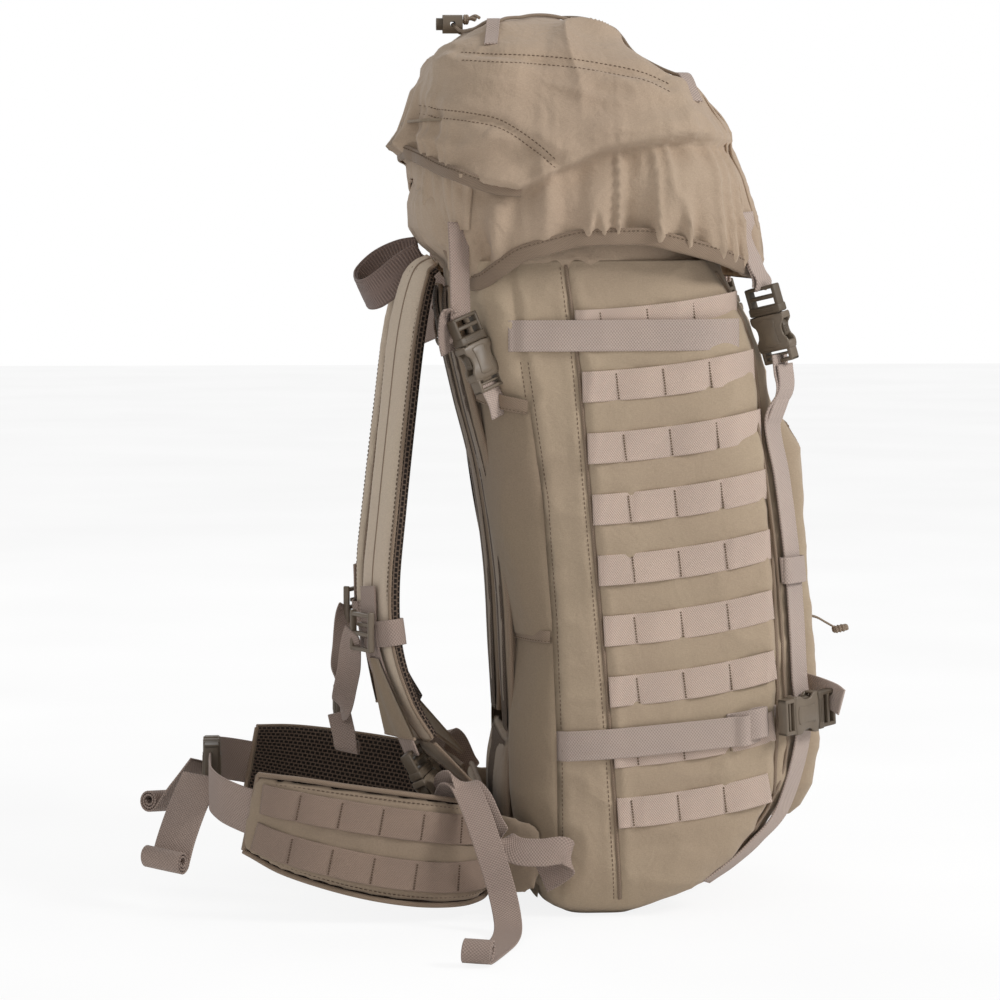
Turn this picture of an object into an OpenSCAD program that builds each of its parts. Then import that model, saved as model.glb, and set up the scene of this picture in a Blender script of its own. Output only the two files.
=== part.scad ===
/* [Bag] */
// Half width of the bag at its middle
bag_half_w = 164; // [150:1:175]
// Thickness of the bag's fabric and foam wall
bag_wall = 4; // [3:0.5:6]
// Squareness of the bag's rounded outline: 2 is an ellipse, higher is squarer
bag_square = 4.5; // [3.5:0.5:6]
// Height of the bag's mouth above the ground
mouth_z = 548; // [540:1:552]

/* [Webbing] */
// Width of the narrow webbing
web_w = 25; // [20:1:26]
// Thickness of the webbing
web_t = 2; // [1.5:0.5:2.5]
// Spacing of the rows of the side webbing ladder
row_pitch = 50.8; // [48:0.1:52]
// Number of rows in the ladder
rows = 9; // [7:1:9]

/* [Lid] */
// Thickness of the lid's fabric
lid_wall = 3; // [2:0.5:4]

/* [Harness] */
// Thickness of the shoulder pads
pad_t = 16; // [12:1:20]
// Thickness of the hip belt
belt_t = 14; // [10:1:16]

/* [Buckles] */
// Outer width of a webbing buckle
buckle_w = 34; // [32:1:36]
// Thickness of a webbing buckle
buckle_t = 12; // [11:1:13]
// Outer diameter of the stretch cord
cord_d = 3; // [2.5:0.5:4]

/* [Hidden] */

ring_n = 40;             // points round the bag's outline
lid_n = 48;              // points round the lid's outline
gap = 0.3;               // clearance between neighbouring pieces

// The bag's outline against height: front edge, back edge and half width, as [height, place]
bag_front = [[0, 50], [8, 30], [22, -2], [43, -33], [66, -58], [95, -80], [140, -94], [200, -91],
    [300, -84], [400, -70], [480, -52], [548, -20]];
bag_back = [[0, 118], [10, 132], [40, 146], [120, 148], [200, 148], [280, 152], [370, 165],
    [430, 182], [500, 198], [548, 204]];
bag_width = [[0, -34], [8, -18], [22, -9], [45, -3], [90, 0], [430, 0], [500, -4], [548, -10]];

// The collar's outline above the mouth
collar_front = [[549, -18], [575, -3], [595, 15], [615, 38], [632, 64], [645, 90], [650, 108]];
collar_back = [[549, 205], [575, 230], [595, 236], [615, 233], [632, 222], [645, 204], [650, 190]];
collar_width = [[549, 153], [575, 151], [595, 147], [615, 136], [632, 116], [645, 88], [650, 62]];

// The lid's outline, and the height of its lower edge against the place from front to back
lid_front = [[520, -52], [545, -55], [575, -58], [600, -54], [640, -42], [660, -33], [690, -12],
    [698, 4], [712, 26], [730, 47], [744, 63], [751, 76]];
lid_back = [[520, 205], [545, 214], [575, 230], [600, 242], [640, 248], [660, 248], [690, 244],
    [698, 241], [712, 232], [730, 212], [744, 185], [751, 150]];
lid_width = [[520, 170], [545, 173], [575, 175], [600, 175], [640, 173], [660, 171], [690, 163],
    [698, 158], [712, 149], [730, 130], [744, 100], [751, 58]];
lid_edge = [[-60, 545], [-35, 548], [4, 561], [54, 570], [103, 562], [150, 548], [188, 528],
    [198, 560], [206, 610], [225, 632], [250, 640]];

lid_hinge = [0, 176, 436];

// ---- Helpers

function sgn_pow(v, p) = sign(v) * pow(abs(v), p);

// A rounded outline at one height, with n points
function outline(z, front, back, half, square, n) = [for (i = [0 : n - 1])
    let (c = cos(360 * i / n), s = sin(360 * i / n))
    [half * sgn_pow(c, 2 / square), (front + back) / 2 + (back - front) / 2 * sgn_pow(s, 2 / square), z]];

function bag_outline(z, inset) = outline(z, lookup(z, bag_front) + inset, lookup(z, bag_back) - inset,
    bag_half_w + lookup(z, bag_width) - inset, bag_square, ring_n);

// The bag's half width at a place on its side
function side_x(y, z) =
    let (f = lookup(z, bag_front), b = lookup(z, bag_back), u = abs(y - (f + b) / 2) / ((b - f) / 2))
    (bag_half_w + lookup(z, bag_width)) * pow(max(0.02, 1 - pow(u, bag_square)), 1 / bag_square);

function unit(v) = v / norm(v);
function flip_x(points) = [for (p = points) [-p[0], p[1], p[2]]];
function reversed(list) = [for (i = [len(list) - 1 : -1 : 0]) list[i]];
function centre(points) = [for (k = [0 : 2]) [for (p = points) p[k]] * [for (p = points) 1] / len(points)];

// A closed skin through rings of points that all have the same count
module loft(rings) {
    n = len(rings[0]);
    m = len(rings);
    sides = [for (j = [0 : m - 2], i = [0 : n - 1])
        let (a = j * n + i, b = j * n + (i + 1) % n, c = a + n, d = b + n)
        each [[a, c, b], [b, c, d]]];
    low = [for (i = [0 : n - 1]) [m * n, i, (i + 1) % n]];
    high = [for (i = [0 : n - 1]) [m * n + 1, (m - 1) * n + (i + 1) % n, (m - 1) * n + i]];
    polyhedron([each [for (r = rings) each r], centre(rings[0]), centre(rings[m - 1])],
        concat(sides, low, high), convexity = 6);
}

// A closed skin through rings that run out along one face of a wall and back along the other
module wall_loft(rings) {
    n = len(rings[0]);
    m = len(rings);
    sides = [for (j = [0 : m - 2], i = [0 : n - 1])
        let (a = j * n + i, b = j * n + (i + 1) % n, c = a + n, d = b + n)
        each [[a, c, b], [b, c, d]]];
    caps = [for (i = [0 : n / 2 - 2], top = [0, 1])
        let (base = top * (m - 1) * n, a = base + i, b = a + 1, c = base + n - 2 - i, d = c + 1)
        each top == 1 ? [[b, a, d], [b, d, c]] : [[a, b, d], [b, c, d]]];
    polyhedron([for (r = rings) each r], concat(sides, caps), convexity = 6);
}

// A ring of skin, closed on itself where its last ring meets its first
module tyre(rings) {
    n = len(rings[0]);
    m = len(rings);
    polyhedron([for (r = rings) each r], [for (j = [0 : m - 1], i = [0 : n - 1])
        let (a = j * n + i, b = j * n + (i + 1) % n, c = ((j + 1) % m) * n + i,
            d = ((j + 1) % m) * n + (i + 1) % n)
        each [[a, c, b], [b, c, d]]], convexity = 6);
}

// The cross-section of a strap or pad, one unit each way
function section(m) = m == 4 ? [[1, 1], [-1, 1], [-1, -1], [1, -1]]
    : [for (i = [0 : m - 1]) [sgn_pow(cos(360 * i / m), 0.6), sgn_pow(sin(360 * i / m), 0.6)]];

function along(path, i) = unit(path[min(i + 1, len(path) - 1)] - path[max(i - 1, 0)]);

function swept_ring(path, across, half_w, half_t, m, i) =
    let (t = along(path, i), n = unit(cross(t, across)), w = cross(n, t))
    [for (s = section(m)) path[i] + w * s[0] * half_w + n * s[1] * half_t];

// A strap of constant size along a path; across is the way its width points
module strap(path, across, width, thick) {
    loft([for (i = [0 : len(path) - 1]) swept_ring(path, across, width / 2, thick / 2, 4, i)]);
}

// A rounded pad along a path, with a width at each point
module pad(path, across, widths, thicks, m = 12) {
    loft([for (i = [0 : len(path) - 1])
        swept_ring(path, across, widths[i] / 2, thicks[i] / 2, m, i)]);
}

module cord_tube(path, d) {
    loft([for (i = [0 : len(path) - 1]) let (t = along(path, i),
        a = unit(cross(t, abs(t[2]) > 0.8 ? [0, 1, 0] : [0, 0, 1])), b = cross(t, a))
        [for (k = [0 : 7]) path[i] + (a * cos(45 * k) + b * sin(45 * k)) * d / 2]]);
}

// Points along a smooth curve through hand-placed points
function bend(p, i, u) =
    let (a = p[max(i - 1, 0)], b = p[i], c = p[i + 1], d = p[min(i + 2, len(p) - 1)])
    b + u * ((c - a) / 2 + u * (a - 2.5 * b + 2 * c - d / 2 + u * (b - c + (b - a) / 2 + (d - c) / 2)));
function smooth(p, steps) = [each [for (i = [0 : len(p) - 2], k = [0 : steps - 1]) bend(p, i, k / steps)],
    p[len(p) - 1]];

module both_sides() {
    children();
    mirror([1, 0, 0]) children();
}

// ---- Side-release buckle. The plug leaves the socket along +Z, the width is along X.
socket_l = 30;
mouth_gap = 0.4;

module slot_frame(w, t, z0, z1) {
    translate([-w / 2, -t / 2, z0]) cube([w, t, z1 - z0]);
}

// The socket with its cavity, the windows for the latch arms and the bar for the webbing
module buckle_socket(w, t) {
    difference() {
        union() {
            slot_frame(w, t, -socket_l, 0);
            slot_frame(w - 4, t - 2, -socket_l - 11, -socket_l);
        }
        slot_frame(w - 4, t - 4, -socket_l + 6, 1);
        slot_frame(w + 2, t - 5, -21, -5);
        slot_frame(w - 8, t + 2, -socket_l - 8, -socket_l - 2);
    }
}

// The plug: a base with bars for the webbing, and a guide tongue
module buckle_plug(w, t) {
    difference() {
        union() {
            slot_frame(w - 2, t - 1, mouth_gap, 8);
            slot_frame(w - 4, t - 3, 8, 24);
            slot_frame(5, t - 7.6, -20, mouth_gap);
        }
        slot_frame(w - 10, t + 2, 9, 13);
        slot_frame(w - 10, t + 2, 17, 21);
    }
}

// One latch arm, on the +X side; it squeezes towards the tongue
module latch_arm(w, t) {
    difference() {
        translate([w / 2 - 7.6, -(t - 7) / 2, -20]) cube([4.3, t - 7, 20]);
        translate([w / 2 - 7.7, -t, -4.5]) cube([1.6, 2 * t, 5]);
    }
}

// A plug whose two latch arms stay with it
module whole_plug(w, t) {
    buckle_plug(w, t);
    for (s = [0, 1]) mirror([s, 0, 0]) latch_arm(w, t);
}

// ---- Places of the buckles

front_buckle_at = [-135, -56, 503];
front_tilt = atan((front_buckle_at[2] - lid_hinge[2]) / (lid_hinge[1] - front_buckle_at[1]));
front_turn = 45;
module at_front_buckle() {
    translate(front_buckle_at) rotate([-front_tilt, 0, 0]) rotate([0, 0, front_turn]) children();
}

rear_buckle_at = [-150, 193, 480];
module at_rear_buckle() {
    translate(rear_buckle_at) rotate([-22, 0, 0]) rotate([0, 0, -50]) children();
}

compression_at = [-145, -94, 172];
module at_compression_buckle() {
    translate(compression_at) rotate([0, 0, 42]) rotate([86, 0, 0]) rotate([0, 0, 90]) children();
}

adjuster_at = [-122, 232, 117];
module at_adjuster() {
    translate(adjuster_at) rotate([-28, 0, 0]) rotate([0, 0, -25]) children();
}

belt_buckle_at = [8, 410, 104];
belt_buckle_w = 54;
module at_belt_buckle() {
    translate(belt_buckle_at) rotate([0, -90, 0]) children();
}

sternum_at = [6, 298, 160];
sternum_w = 32;
module at_sternum_buckle() {
    translate(sternum_at) rotate([0, -90, 0]) children();
}

// ---- Bag

bag_levels = [0, 8, 22, 45, 80, 140, 200, 280, 370, 430, 500, mouth_z];

module bag_shell() {
    color([0.55, 0.5, 0.42])
    loft(concat([for (z = bag_levels) bag_outline(z, 0)],
        [for (z = reversed([for (k = bag_levels) if (k > 10) k])) bag_outline(z, bag_wall)],
        [bag_outline(6, bag_wall + 6)]));
}

function collar_outline(z, inset) = outline(z, lookup(z, collar_front) + inset,
    lookup(z, collar_back) - inset, lookup(z, collar_width) - inset, 3.6, ring_n);
collar_levels = [mouth_z + 1, 575, 595, 615, 632, 645, 650];

module bag_collar() {
    color([0.6, 0.54, 0.45])
    tyre(concat([for (z = collar_levels) collar_outline(z, 0)],
        [for (z = reversed(collar_levels)) collar_outline(z, 3)]));
}

// A drawcord round the collar's mouth, with both ends in a knot
module collar_drawcord() {
    color([0.2, 0.2, 0.18])
    tyre([for (i = [0 : 31]) let (t = 360 * i / 32, r = [cos(t), sin(t), 0])
        [for (k = [0 : 7]) [62 * r[0], 149 + 41 * r[1], 653.4]
            + (unit([62 * r[0], 41 * r[1], 0]) * cos(-45 * k) + [0, 0, 1] * sin(-45 * k)) * cord_d / 2]]);
}

sheet_path = [[0, 140, 50], [0, 141, 160], [0, 144, 260], [0, 156, 360], [0, 173, 430], [0, 190, 510]];

// Stiff plastic sheet inside the back of the bag
module frame_sheet() {
    color([0.12, 0.12, 0.12])
    strap([for (p = sheet_path) p - [0, 4, 0]], [1, 0, 0], 200, 2);
}

// Two bent aluminium stays in front of the sheet
module frame_stays() {
    color([0.75, 0.76, 0.78])
    for (x = [-60, 60]) strap([for (p = sheet_path) p + [x, -8, 0]], [1, 0, 0], web_w, 3);
}

// Padded columns and the lumbar pad on the outside of the back
column_path = [[0, 160, 150], [0, 160, 200], [0, 164, 280], [0, 176, 365], [0, 192, 430], [0, 208, 500],
    [0, 211, 525]];
module back_pads() {
    color([0.2, 0.17, 0.15]) {
        for (x = [-74, 74])
            pad([for (p = column_path) p + [x, -3, 0]], [1, 0, 0], [60, 76, 84, 88, 84, 72, 50],
                [6, 13, 15, 15, 15, 13, 6]);
        pad([[0, 156, 34], [0, 158, 60], [0, 159, 100], [0, 156, 138]], [1, 0, 0],
            [150, 190, 200, 170], [8, 14, 16, 10]);
    }
}

row_top = 523;
row_tilt = 0.15;
row_thick = 1.6;
row_off = 2;
function row_front(z) = lookup(z, bag_front) + 42;
function row_back(z) = lookup(z, [[80, 78], [200, 94], [330, 106], [520, 118]]);

// The height of a row's middle at its place from front to back
function row_z(i, y) = row_top - 12 - i * row_pitch - (y + 40) * row_tilt;

// Rows of webbing down both sides of the bag
module side_ladders() {
    color([0.66, 0.58, 0.5]) both_sides()
    for (i = [0 : rows - 1]) {
        z0 = row_top - 12 - i * row_pitch;
        ys = [for (k = [0 : 5]) row_front(z0) + (row_back(z0) - row_front(z0)) * k / 5];
        strap([for (y = ys) [side_under(y, row_z(i, y)) + row_off, y, row_z(i, y)]],
            [0, row_tilt, -1], web_w, row_thick);
    }
}

// A low elastic-topped pocket at the rear of each side, for poles
pocket_rings = [[56, 20], [120, 24], [200, 26], [300, 26], [380, 24], [412, 22]];
module wand_pockets() {
    color([0.55, 0.49, 0.41]) both_sides()
    loft(concat([for (r = pocket_rings) pocket_ring(r[0], 0)],
        [for (r = reversed(pocket_rings)) if (r[0] > 60) pocket_ring(r[0], 2.5)]));
}
// The pocket's outline: its inner wall stays off the bag, its outer wall bulges
function pocket_ring(z, inset) =
    let (b = lookup(z, bag_back), y0 = b - 42 + inset, y1 = b - 6 - inset, m = 7,
        bulge = lookup(z, [[56, 7], [120, 9], [380, 11], [412, 8]]))
    concat([for (i = [m - 1 : -1 : 0]) let (y = y0 + (y1 - y0) * i / (m - 1))
            [side_x(y, z) + 8 * gap + inset * 0.3, y, z]],
        [for (i = [0 : m - 1]) let (y = y0 + (y1 - y0) * i / (m - 1),
                out = max(3.2, bulge * sin(180 * (i + 0.6) / (m + 0.2))))
            [side_x(y, z) + 7 * gap - inset * 0.6 + out, y, z]]);

// The widest place of the bag's side that a strap's width covers
function side_under(y, z) = max([for (k = [-web_w / 2, 0, web_w / 2]) side_x(y, z + k)]);

// A strap across the side, standing off the surface by a given amount
function side_path(y0, z0, y1, z1, off, n) = [for (k = [0 : n])
    let (y = y0 + (y1 - y0) * k / n, z = z0 + (z1 - z0) * k / n) [-side_under(y, z) - off, y, z]];

module compression_straps() {
    color([0.6, 0.54, 0.49]) both_sides() {
        strap(side_path(138, 487, -26, 499, 5.6, 9), [0, 0, 1], web_w, web_t);
        strap(side_path(94, 146, -49, 163, 5.5, 8), [0, 0, 1], web_w, web_t);
    }
}

module compression_buckle_sockets() {
    color([0.45, 0.42, 0.35]) both_sides()
    at_compression_buckle() buckle_socket(buckle_w, buckle_t);
}

module compression_buckle_plugs() {
    color([0.42, 0.39, 0.32]) both_sides() at_compression_buckle()
    whole_plug(buckle_w, buckle_t);
}

// ---- Front pocket with its zip
pocket_y = [[80, -98], [100, -106], [140, -110], [390, -92], [424, -73]];
function front_y(z) = lookup(z, pocket_y);
zip_low = 150;
zip_high = 385;
zip_dir = unit([0, front_y(zip_high) - front_y(zip_low), zip_high - zip_low]);

pocket_half = [[80, 74], [100, 88], [140, 96], [390, 88], [424, 72]];
pocket_wall = 3;
pocket_n = 9;

// The front of the bag's outline at a place across it
function bag_front_at(x, z) =
    let (f = lookup(z, bag_front), b = lookup(z, bag_back), w = bag_half_w + lookup(z, bag_width))
    (f + b) / 2 - (b - f) / 2 * pow(1 - pow(abs(x) / w, bag_square), 1 / bag_square);

// One face of the pocket's wall at a height, across the front and back to the bag at both sides
pocket_corner = 7;   // how far the pocket's corners are rounded back
function pocket_face(z, inset) =
    let (half = lookup(z, pocket_half) - inset, edge = bag_front_at(half, z) - 4 * gap)
    concat([[-half, edge, z]],
        [for (i = [0 : pocket_n - 1])
            let (x = -half + 2 * half * i / (pocket_n - 1),
                round_y = front_y(z) + pocket_corner * pow(abs(x) / half, 4),
                y = min(round_y, bag_front_at(x, z) - 7 * gap - pocket_wall) + inset)
            [x, y, z]],
        [[half, edge, z]]);

module front_pocket() {
    color([0.55, 0.5, 0.42])
    wall_loft([for (z = [80, 100, 140, 200, 260, 330, 390, 424])
        concat(pocket_face(z, 0), reversed(pocket_face(z, pocket_wall)))]);
}

module on_zip(z) {
    translate([0, front_y(z), z]) rotate([atan(-zip_dir[1] / zip_dir[2]), 0, 0]) children();
}

// Zip tapes with two rows of teeth
module pocket_zip() {
    color([0.3, 0.27, 0.23]) on_zip((zip_low + zip_high) / 2) {
        l = (zip_high - zip_low) / 2;
        for (x = [-1, 1]) translate([x * 7 - 6, -1.5, -l]) cube([12, 1.2, 2 * l]);
        translate([-2.4, -3, -l]) cube([4.8, 1.3, 2 * l]);
    }
}

slider_z = 238;
module zip_slider() {
    color([0.25, 0.23, 0.2]) on_zip(slider_z) {
        translate([-4.5, -5.6, -6]) cube([9, 2.2, 12]);
        difference() {
            translate([-2, -9.2, -4]) cube([4, 3.6, 8]);
            translate([-3, -7.6, -1.6]) cube([6, 2.1, 3.2]);
        }
    }
}

// A cord loop and a grip tab on the slider
pull_at = [0, front_y(slider_z) - 6.6, slider_z];
module zip_pull() {
    color([0.22, 0.2, 0.17]) translate([0, pull_at[1], pull_at[2] - 0.2]) {
        for (x = [-3.6, 3.6])
            cord_tube([[x, 0.1, 0], [x, -8, -2], [x * 0.8, -16, -7], [x * 0.5, -24, -11]], 1.8);
        translate([-3.6, 0, 0]) rotate([0, 90, 0]) cylinder(h = 7.2, r = 0.7, $fn = 24);
        translate([-5, -36, -16]) rotate([-12, 0, 0]) cube([10, 13, 5]);
    }
}

// ---- Front straps with their sockets
strap_off = 4.5;
corner_out = [-0.6, -0.8, 0];
corner_turn = 230;   // where the front corner lies round the bag's outline

// A place off the bag's front corner at a height
function corner_at(z, off) =
    let (f = lookup(z, bag_front), b = lookup(z, bag_back), w = bag_half_w + lookup(z, bag_width))
    [w * sgn_pow(cos(corner_turn), 2 / bag_square),
        (f + b) / 2 + (b - f) / 2 * sgn_pow(sin(corner_turn), 2 / bag_square), z] + corner_out * off;

module front_straps() {
    color([0.6, 0.54, 0.49]) both_sides()
    strap(concat([[-137, -68, 459], [-138, -66, 440]],
        [for (z = [415, 370, 330, 290, 240, 200, 140, 90, 60, 40, 26]) corner_at(z, strap_off)]),
        cross(corner_out, [0, 0, 1]), web_w, web_t);
}

module front_buckle_sockets() {
    color([0.45, 0.42, 0.35]) both_sides() at_front_buckle() buckle_socket(buckle_w, buckle_t);
}

keeper_z = 290;
module strap_keepers() {
    lean = atan((corner_at(keeper_z + 40, 0)[1] - corner_at(keeper_z - 40, 0)[1]) / 80);
    color([0.58, 0.52, 0.47]) both_sides()
    translate(corner_at(keeper_z, strap_off)) rotate([-lean, 0, 0])
    rotate([0, 0, atan2(corner_out[0], -corner_out[1])]) difference() {
        translate([-15, -3.2, -12]) cube([30, 6.4, 24]);
        translate([-13.4, -2, -13]) cube([26.8, 4, 26]);
    }
}

module front_buckle_plugs() {
    color([0.42, 0.39, 0.32]) both_sides() at_front_buckle() buckle_plug(buckle_w, buckle_t);
}

module front_latch_left_outer() {
    color([0.42, 0.39, 0.32]) at_front_buckle() mirror([1, 0, 0]) latch_arm(buckle_w, buckle_t);
}
module front_latch_left_inner() {
    color([0.42, 0.39, 0.32]) at_front_buckle() latch_arm(buckle_w, buckle_t);
}
module front_latch_right_outer() {
    mirror([1, 0, 0]) front_latch_left_outer();
}
module front_latch_right_inner() {
    mirror([1, 0, 0]) front_latch_left_inner();
}

// ---- Lid
function lid_outline(z, inset) = outline(z, lookup(z, lid_front) + inset, lookup(z, lid_back) - inset,
    lookup(z, lid_width) - inset, lid_square, lid_n);
lid_square = 3.4;
lid_top = 655;

// A ring of the lid's skirt, a share of the way up from its lower edge
function skirt_z(y, share) = let (e = lookup(y, lid_edge)) e + (lid_top - e) * share;
function skirt_ring(share, inset) = [for (i = [0 : lid_n - 1])
    let (y = lid_outline(600, inset)[i][1]) lid_outline(skirt_z(y, share), inset)[i]];

skirt_shares = [0, 0.25, 0.5, 0.75, 1];
lid_levels = [668, 690, 698, 712, 730, 744, 751];

module lid_shell() {
    color([0.62, 0.56, 0.47])
    loft(concat([for (z = reversed(lid_levels)) lid_outline(z - lid_wall, lid_wall)],
        [for (s = reversed(skirt_shares)) skirt_ring(s, lid_wall)],
        [for (s = skirt_shares) skirt_ring(s, 0)],
        [for (z = lid_levels) lid_outline(z, 0)]));
}

// The panel that closes the lid's pocket from below
module lid_floor() {
    color([0.5, 0.46, 0.4])
    loft([lid_outline(663, lid_wall + gap + 0.4), lid_outline(665, lid_wall + gap + 0.4)]);
}

// Elastic binding round the skirt's lower edge
module lid_hem() {
    color([0.63, 0.57, 0.48])
    tyre([for (q = [[-1.5, 3.4], [8, 3.4], [8, 1.6], [-1.5, 1.6]])
        [for (i = [0 : lid_n - 1]) let (y = lid_outline(600, 0)[i][1])
            lid_outline(skirt_z(y, 0) + 2 + q[0], -q[1])[i]]]);
}

// The height of the lid's crown over a place, found by halving
function in_lid(x, y, z) = let (f = lookup(z, lid_front), b = lookup(z, lid_back))
    pow(abs(x) / lookup(z, lid_width), lid_square)
    + pow(abs(y - (f + b) / 2) / ((b - f) / 2), lid_square) < 1;
function crown(x, y, low = 640, high = 751, steps = 12) = steps == 0 ? low
    : let (mid = (low + high) / 2) in_lid(x, y, mid) ? crown(x, y, mid, high, steps - 1)
    : crown(x, y, low, mid, steps - 1);

cord_rear = [104, 172];
cord_front = [112, 14];
lock_y = 196;

// Points over the crown between two places, standing off by the cord's size
function over_crown(a, b, n) = [for (k = [0 : n]) let (p = a + (b - a) * k / n)
    [p[0], p[1], crown(p[0], p[1]) + cord_d / 2 + 1.2]];

module shock_cord() {
    color([0.25, 0.23, 0.18]) {
        cord_tube(over_crown([2 - cord_rear[0], cord_rear[1] - 2], cord_front, 18), cord_d);
        for (s = [-1, 1]) cord_tube([for (k = [0 : 8]) let (t = k / 8, x = s * (7 + t * (cord_rear[0] - 7)),
            y = lock_y - 8 - t * 18)
            [x, y, crown(x, y) + cord_d / 2 + 1.2]], cord_d);
    }
}

module cord_loops() {
    color([0.6, 0.54, 0.49]) both_sides()
    for (p = [[cord_rear[0] + 6, cord_rear[1] - 2], [cord_front[0] + 6, cord_front[1] - 2]])
        translate([p[0] + 7, p[1], crown(p[0] + 7, p[1]) + 4.4]) cube([9, 9, 2.4], center = true);
}

// ---- Cord lock: a barrel with a sprung plunger that stands out of its end
lock_at = [0, lock_y + 4, crown(0, lock_y + 4) + 13];
module at_cord_lock() {
    translate(lock_at) rotate([0, 0, 90]) rotate([0, 90, 0]) children();
}

module cord_lock_barrel() {
    color([0.4, 0.37, 0.3]) at_cord_lock() difference() {
        cylinder(h = 17, r = 8, center = true, $fn = 48);
        translate([0, 0, -5]) cylinder(h = 15, r = 5.6, $fn = 48);
        rotate([90, 0, 0]) cylinder(h = 20, r = 2.4, center = true, $fn = 24);
    }
}

module cord_lock_plunger() {
    color([0.36, 0.33, 0.27]) at_cord_lock() difference() {
        translate([0, 0, -1]) cylinder(h = 15, r = 5.2, $fn = 48);
        translate([0, 0, 4]) rotate([90, 0, 0]) slot_hole(2.4, 5);
    }
}
module slot_hole(r, l) {
    translate([-r, -l, -10]) cube([2 * r, l, 20]);
    cylinder(h = 20, r = r, center = true, $fn = 24);
}

module cord_lock_spring() {
    color([0.7, 0.7, 0.72]) at_cord_lock() translate([0, 0, -4.8]) difference() {
        cylinder(h = 3.6, r = 3.4, $fn = 36);
        translate([0, 0, -1]) cylinder(h = 6, r = 2.6, $fn = 36);
    }
}

// ---- Straps on the lid
module lid_front_straps() {
    color([0.6, 0.54, 0.49]) both_sides()
    strap([[-142, -47, 534], [-146, -48, 548], [-150, -44, 566], [-150, -36, 590]],
        unit([1, -0.8, 0]), web_w - 2, web_t);
}

module lid_rear_straps() {
    color([0.6, 0.54, 0.49]) both_sides()
    strap([[-153, 206, 512], [-156, 214, 535], [-157, 222, 560], [-153, 232, 596], [-148, 240, 620]],
        unit([1, 0.9, 0]), web_w - 4, web_t);
}

module rear_buckles() {
    color([0.45, 0.42, 0.35]) both_sides() at_rear_buckle() {
        buckle_socket(buckle_w - 2, buckle_t);
        whole_plug(buckle_w - 2, buckle_t);
    }
}

// Webbing tabs on the bag that hold the rear lid straps
module lid_anchor_tabs() {
    color([0.6, 0.54, 0.49]) both_sides()
    strap([[-148, 174, 432], [-147, 169, 418], [-146, 167, 406]], unit([1, 1, 0]), web_w - 4, web_t);
}

// ---- Harness: both shoulder straps, joined across the chest
harness_hinge = [0, 212, 556];
pad_path = [[-62, 220, 546], [-62, 232, 534], [-72, 243, 490], [-84, 252, 420], [-96, 261, 340],
    [-104, 267, 275], [-108, 264, 225], [-112, 249, 180], [-116, 228, 146]];
pad_widths = [40, 54, 62, 62, 62, 60, 54, 46, 36];
pad_thicks = [8, 13, 16, 16, 16, 16, 14, 11, 7];
pad_across = unit([1, 0.52, 0]);

module shoulder_pads() {
    color([0.55, 0.49, 0.42]) both_sides()
    pad(smooth(pad_path, 2), pad_across, spread(pad_widths), spread(pad_thicks), 16);
}
function spread(list) = [each [for (i = [0 : len(list) - 2]) each [list[i], (list[i] + list[i + 1]) / 2]],
    list[len(list) - 1]];

// Spacer mesh on the wearer's side of each shoulder pad
module shoulder_linings() {
    color([0.2, 0.17, 0.15]) both_sides()
    pad([for (p = smooth(pad_path, 2)) p - lining_out * (pad_t / 2 + 2.6)], pad_across,
        [for (w = spread(pad_widths)) w - 14], [for (t = spread(pad_thicks)) 3.4], 8);
}
lining_out = unit([-0.52, 1, 0.06]);

// Webbing on the outer face of each pad, down to the adjuster buckle
module adjuster_straps() {
    color([0.6, 0.54, 0.49]) both_sides()
    strap([for (p = [[-104, 267, 275], [-108, 264, 225], [-112, 249, 180], [-118, 238, 152]])
        p + lining_out * 11], pad_across, web_w, web_t);
}

module adjuster_buckles() {
    color([0.45, 0.42, 0.35]) both_sides() at_adjuster() {
        buckle_socket(buckle_w - 2, buckle_t);
        whole_plug(buckle_w - 2, buckle_t);
    }
}

// Webbing from each adjuster to the bag's lower corner; it bends as the harness swings
module adjuster_links() {
    color([0.6, 0.54, 0.49]) both_sides()
    strap([[-146, 213, 111], [-156, 200, 116], [-168, 186, 106], [-172, 171, 84], [-167, 158, 66]],
        [0.3, 1, 0.6], web_w - 3, web_t);
}

// The loose tail of that webbing, down to the ground
module adjuster_tails() {
    color([0.6, 0.54, 0.49]) both_sides() strap(tail_path, [0.2, 1, 0], web_w, web_t);
}
tail_path = [[-181, 190, 92], [-191, 189, 78], [-198, 188, 54], [-203, 186, 30], [-214, 185, 12],
    [-232, 184, 4], [-262, 183, 2.4], [-310, 182, 2.2], [-350, 182, 2.4], [-384, 184, 3.4]];

module harness_corner_tabs() {
    color([0.5, 0.45, 0.38]) both_sides()
    loft([[[-152, 158, 60], [-152, 142, 60], [-155, 142, 60], [-155, 158, 60]],
        [[-148, 150, 22], [-148, 144, 22], [-151, 144, 22], [-151, 150, 22]]]);
}

module sternum_sliders() {
    color([0.42, 0.39, 0.32]) both_sides()
    translate([-113, 283, 238]) rotate([0, 0, 27]) difference() {
        translate([-17, -3, -17]) cube([34, 5, 34]);
        for (z = [-11, 3]) translate([-13, -4, z]) cube([26, 7, 6]);
    }
}

sternum_path = [[-96, 295.4, 238], [-78, 299, 224], [-65, 300, 200], [-60, 299, 180]];
sternum_across = [0.2, 0.1, 1];
module sternum_strap() {
    color([0.6, 0.54, 0.49]) {
        strap(concat(sternum_path, [[-44, 298, 163], [-21, 298, 160]]), sternum_across, 20, 1.6);
        mirror([1, 0, 0])
        strap(concat(sternum_path, [[-60, 298, 164]]), sternum_across, 20, 1.6);
    }
}

module sternum_buckle_socket() {
    color([0.45, 0.42, 0.35]) at_sternum_buckle() buckle_socket(sternum_w, buckle_t - 1);
}

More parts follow.
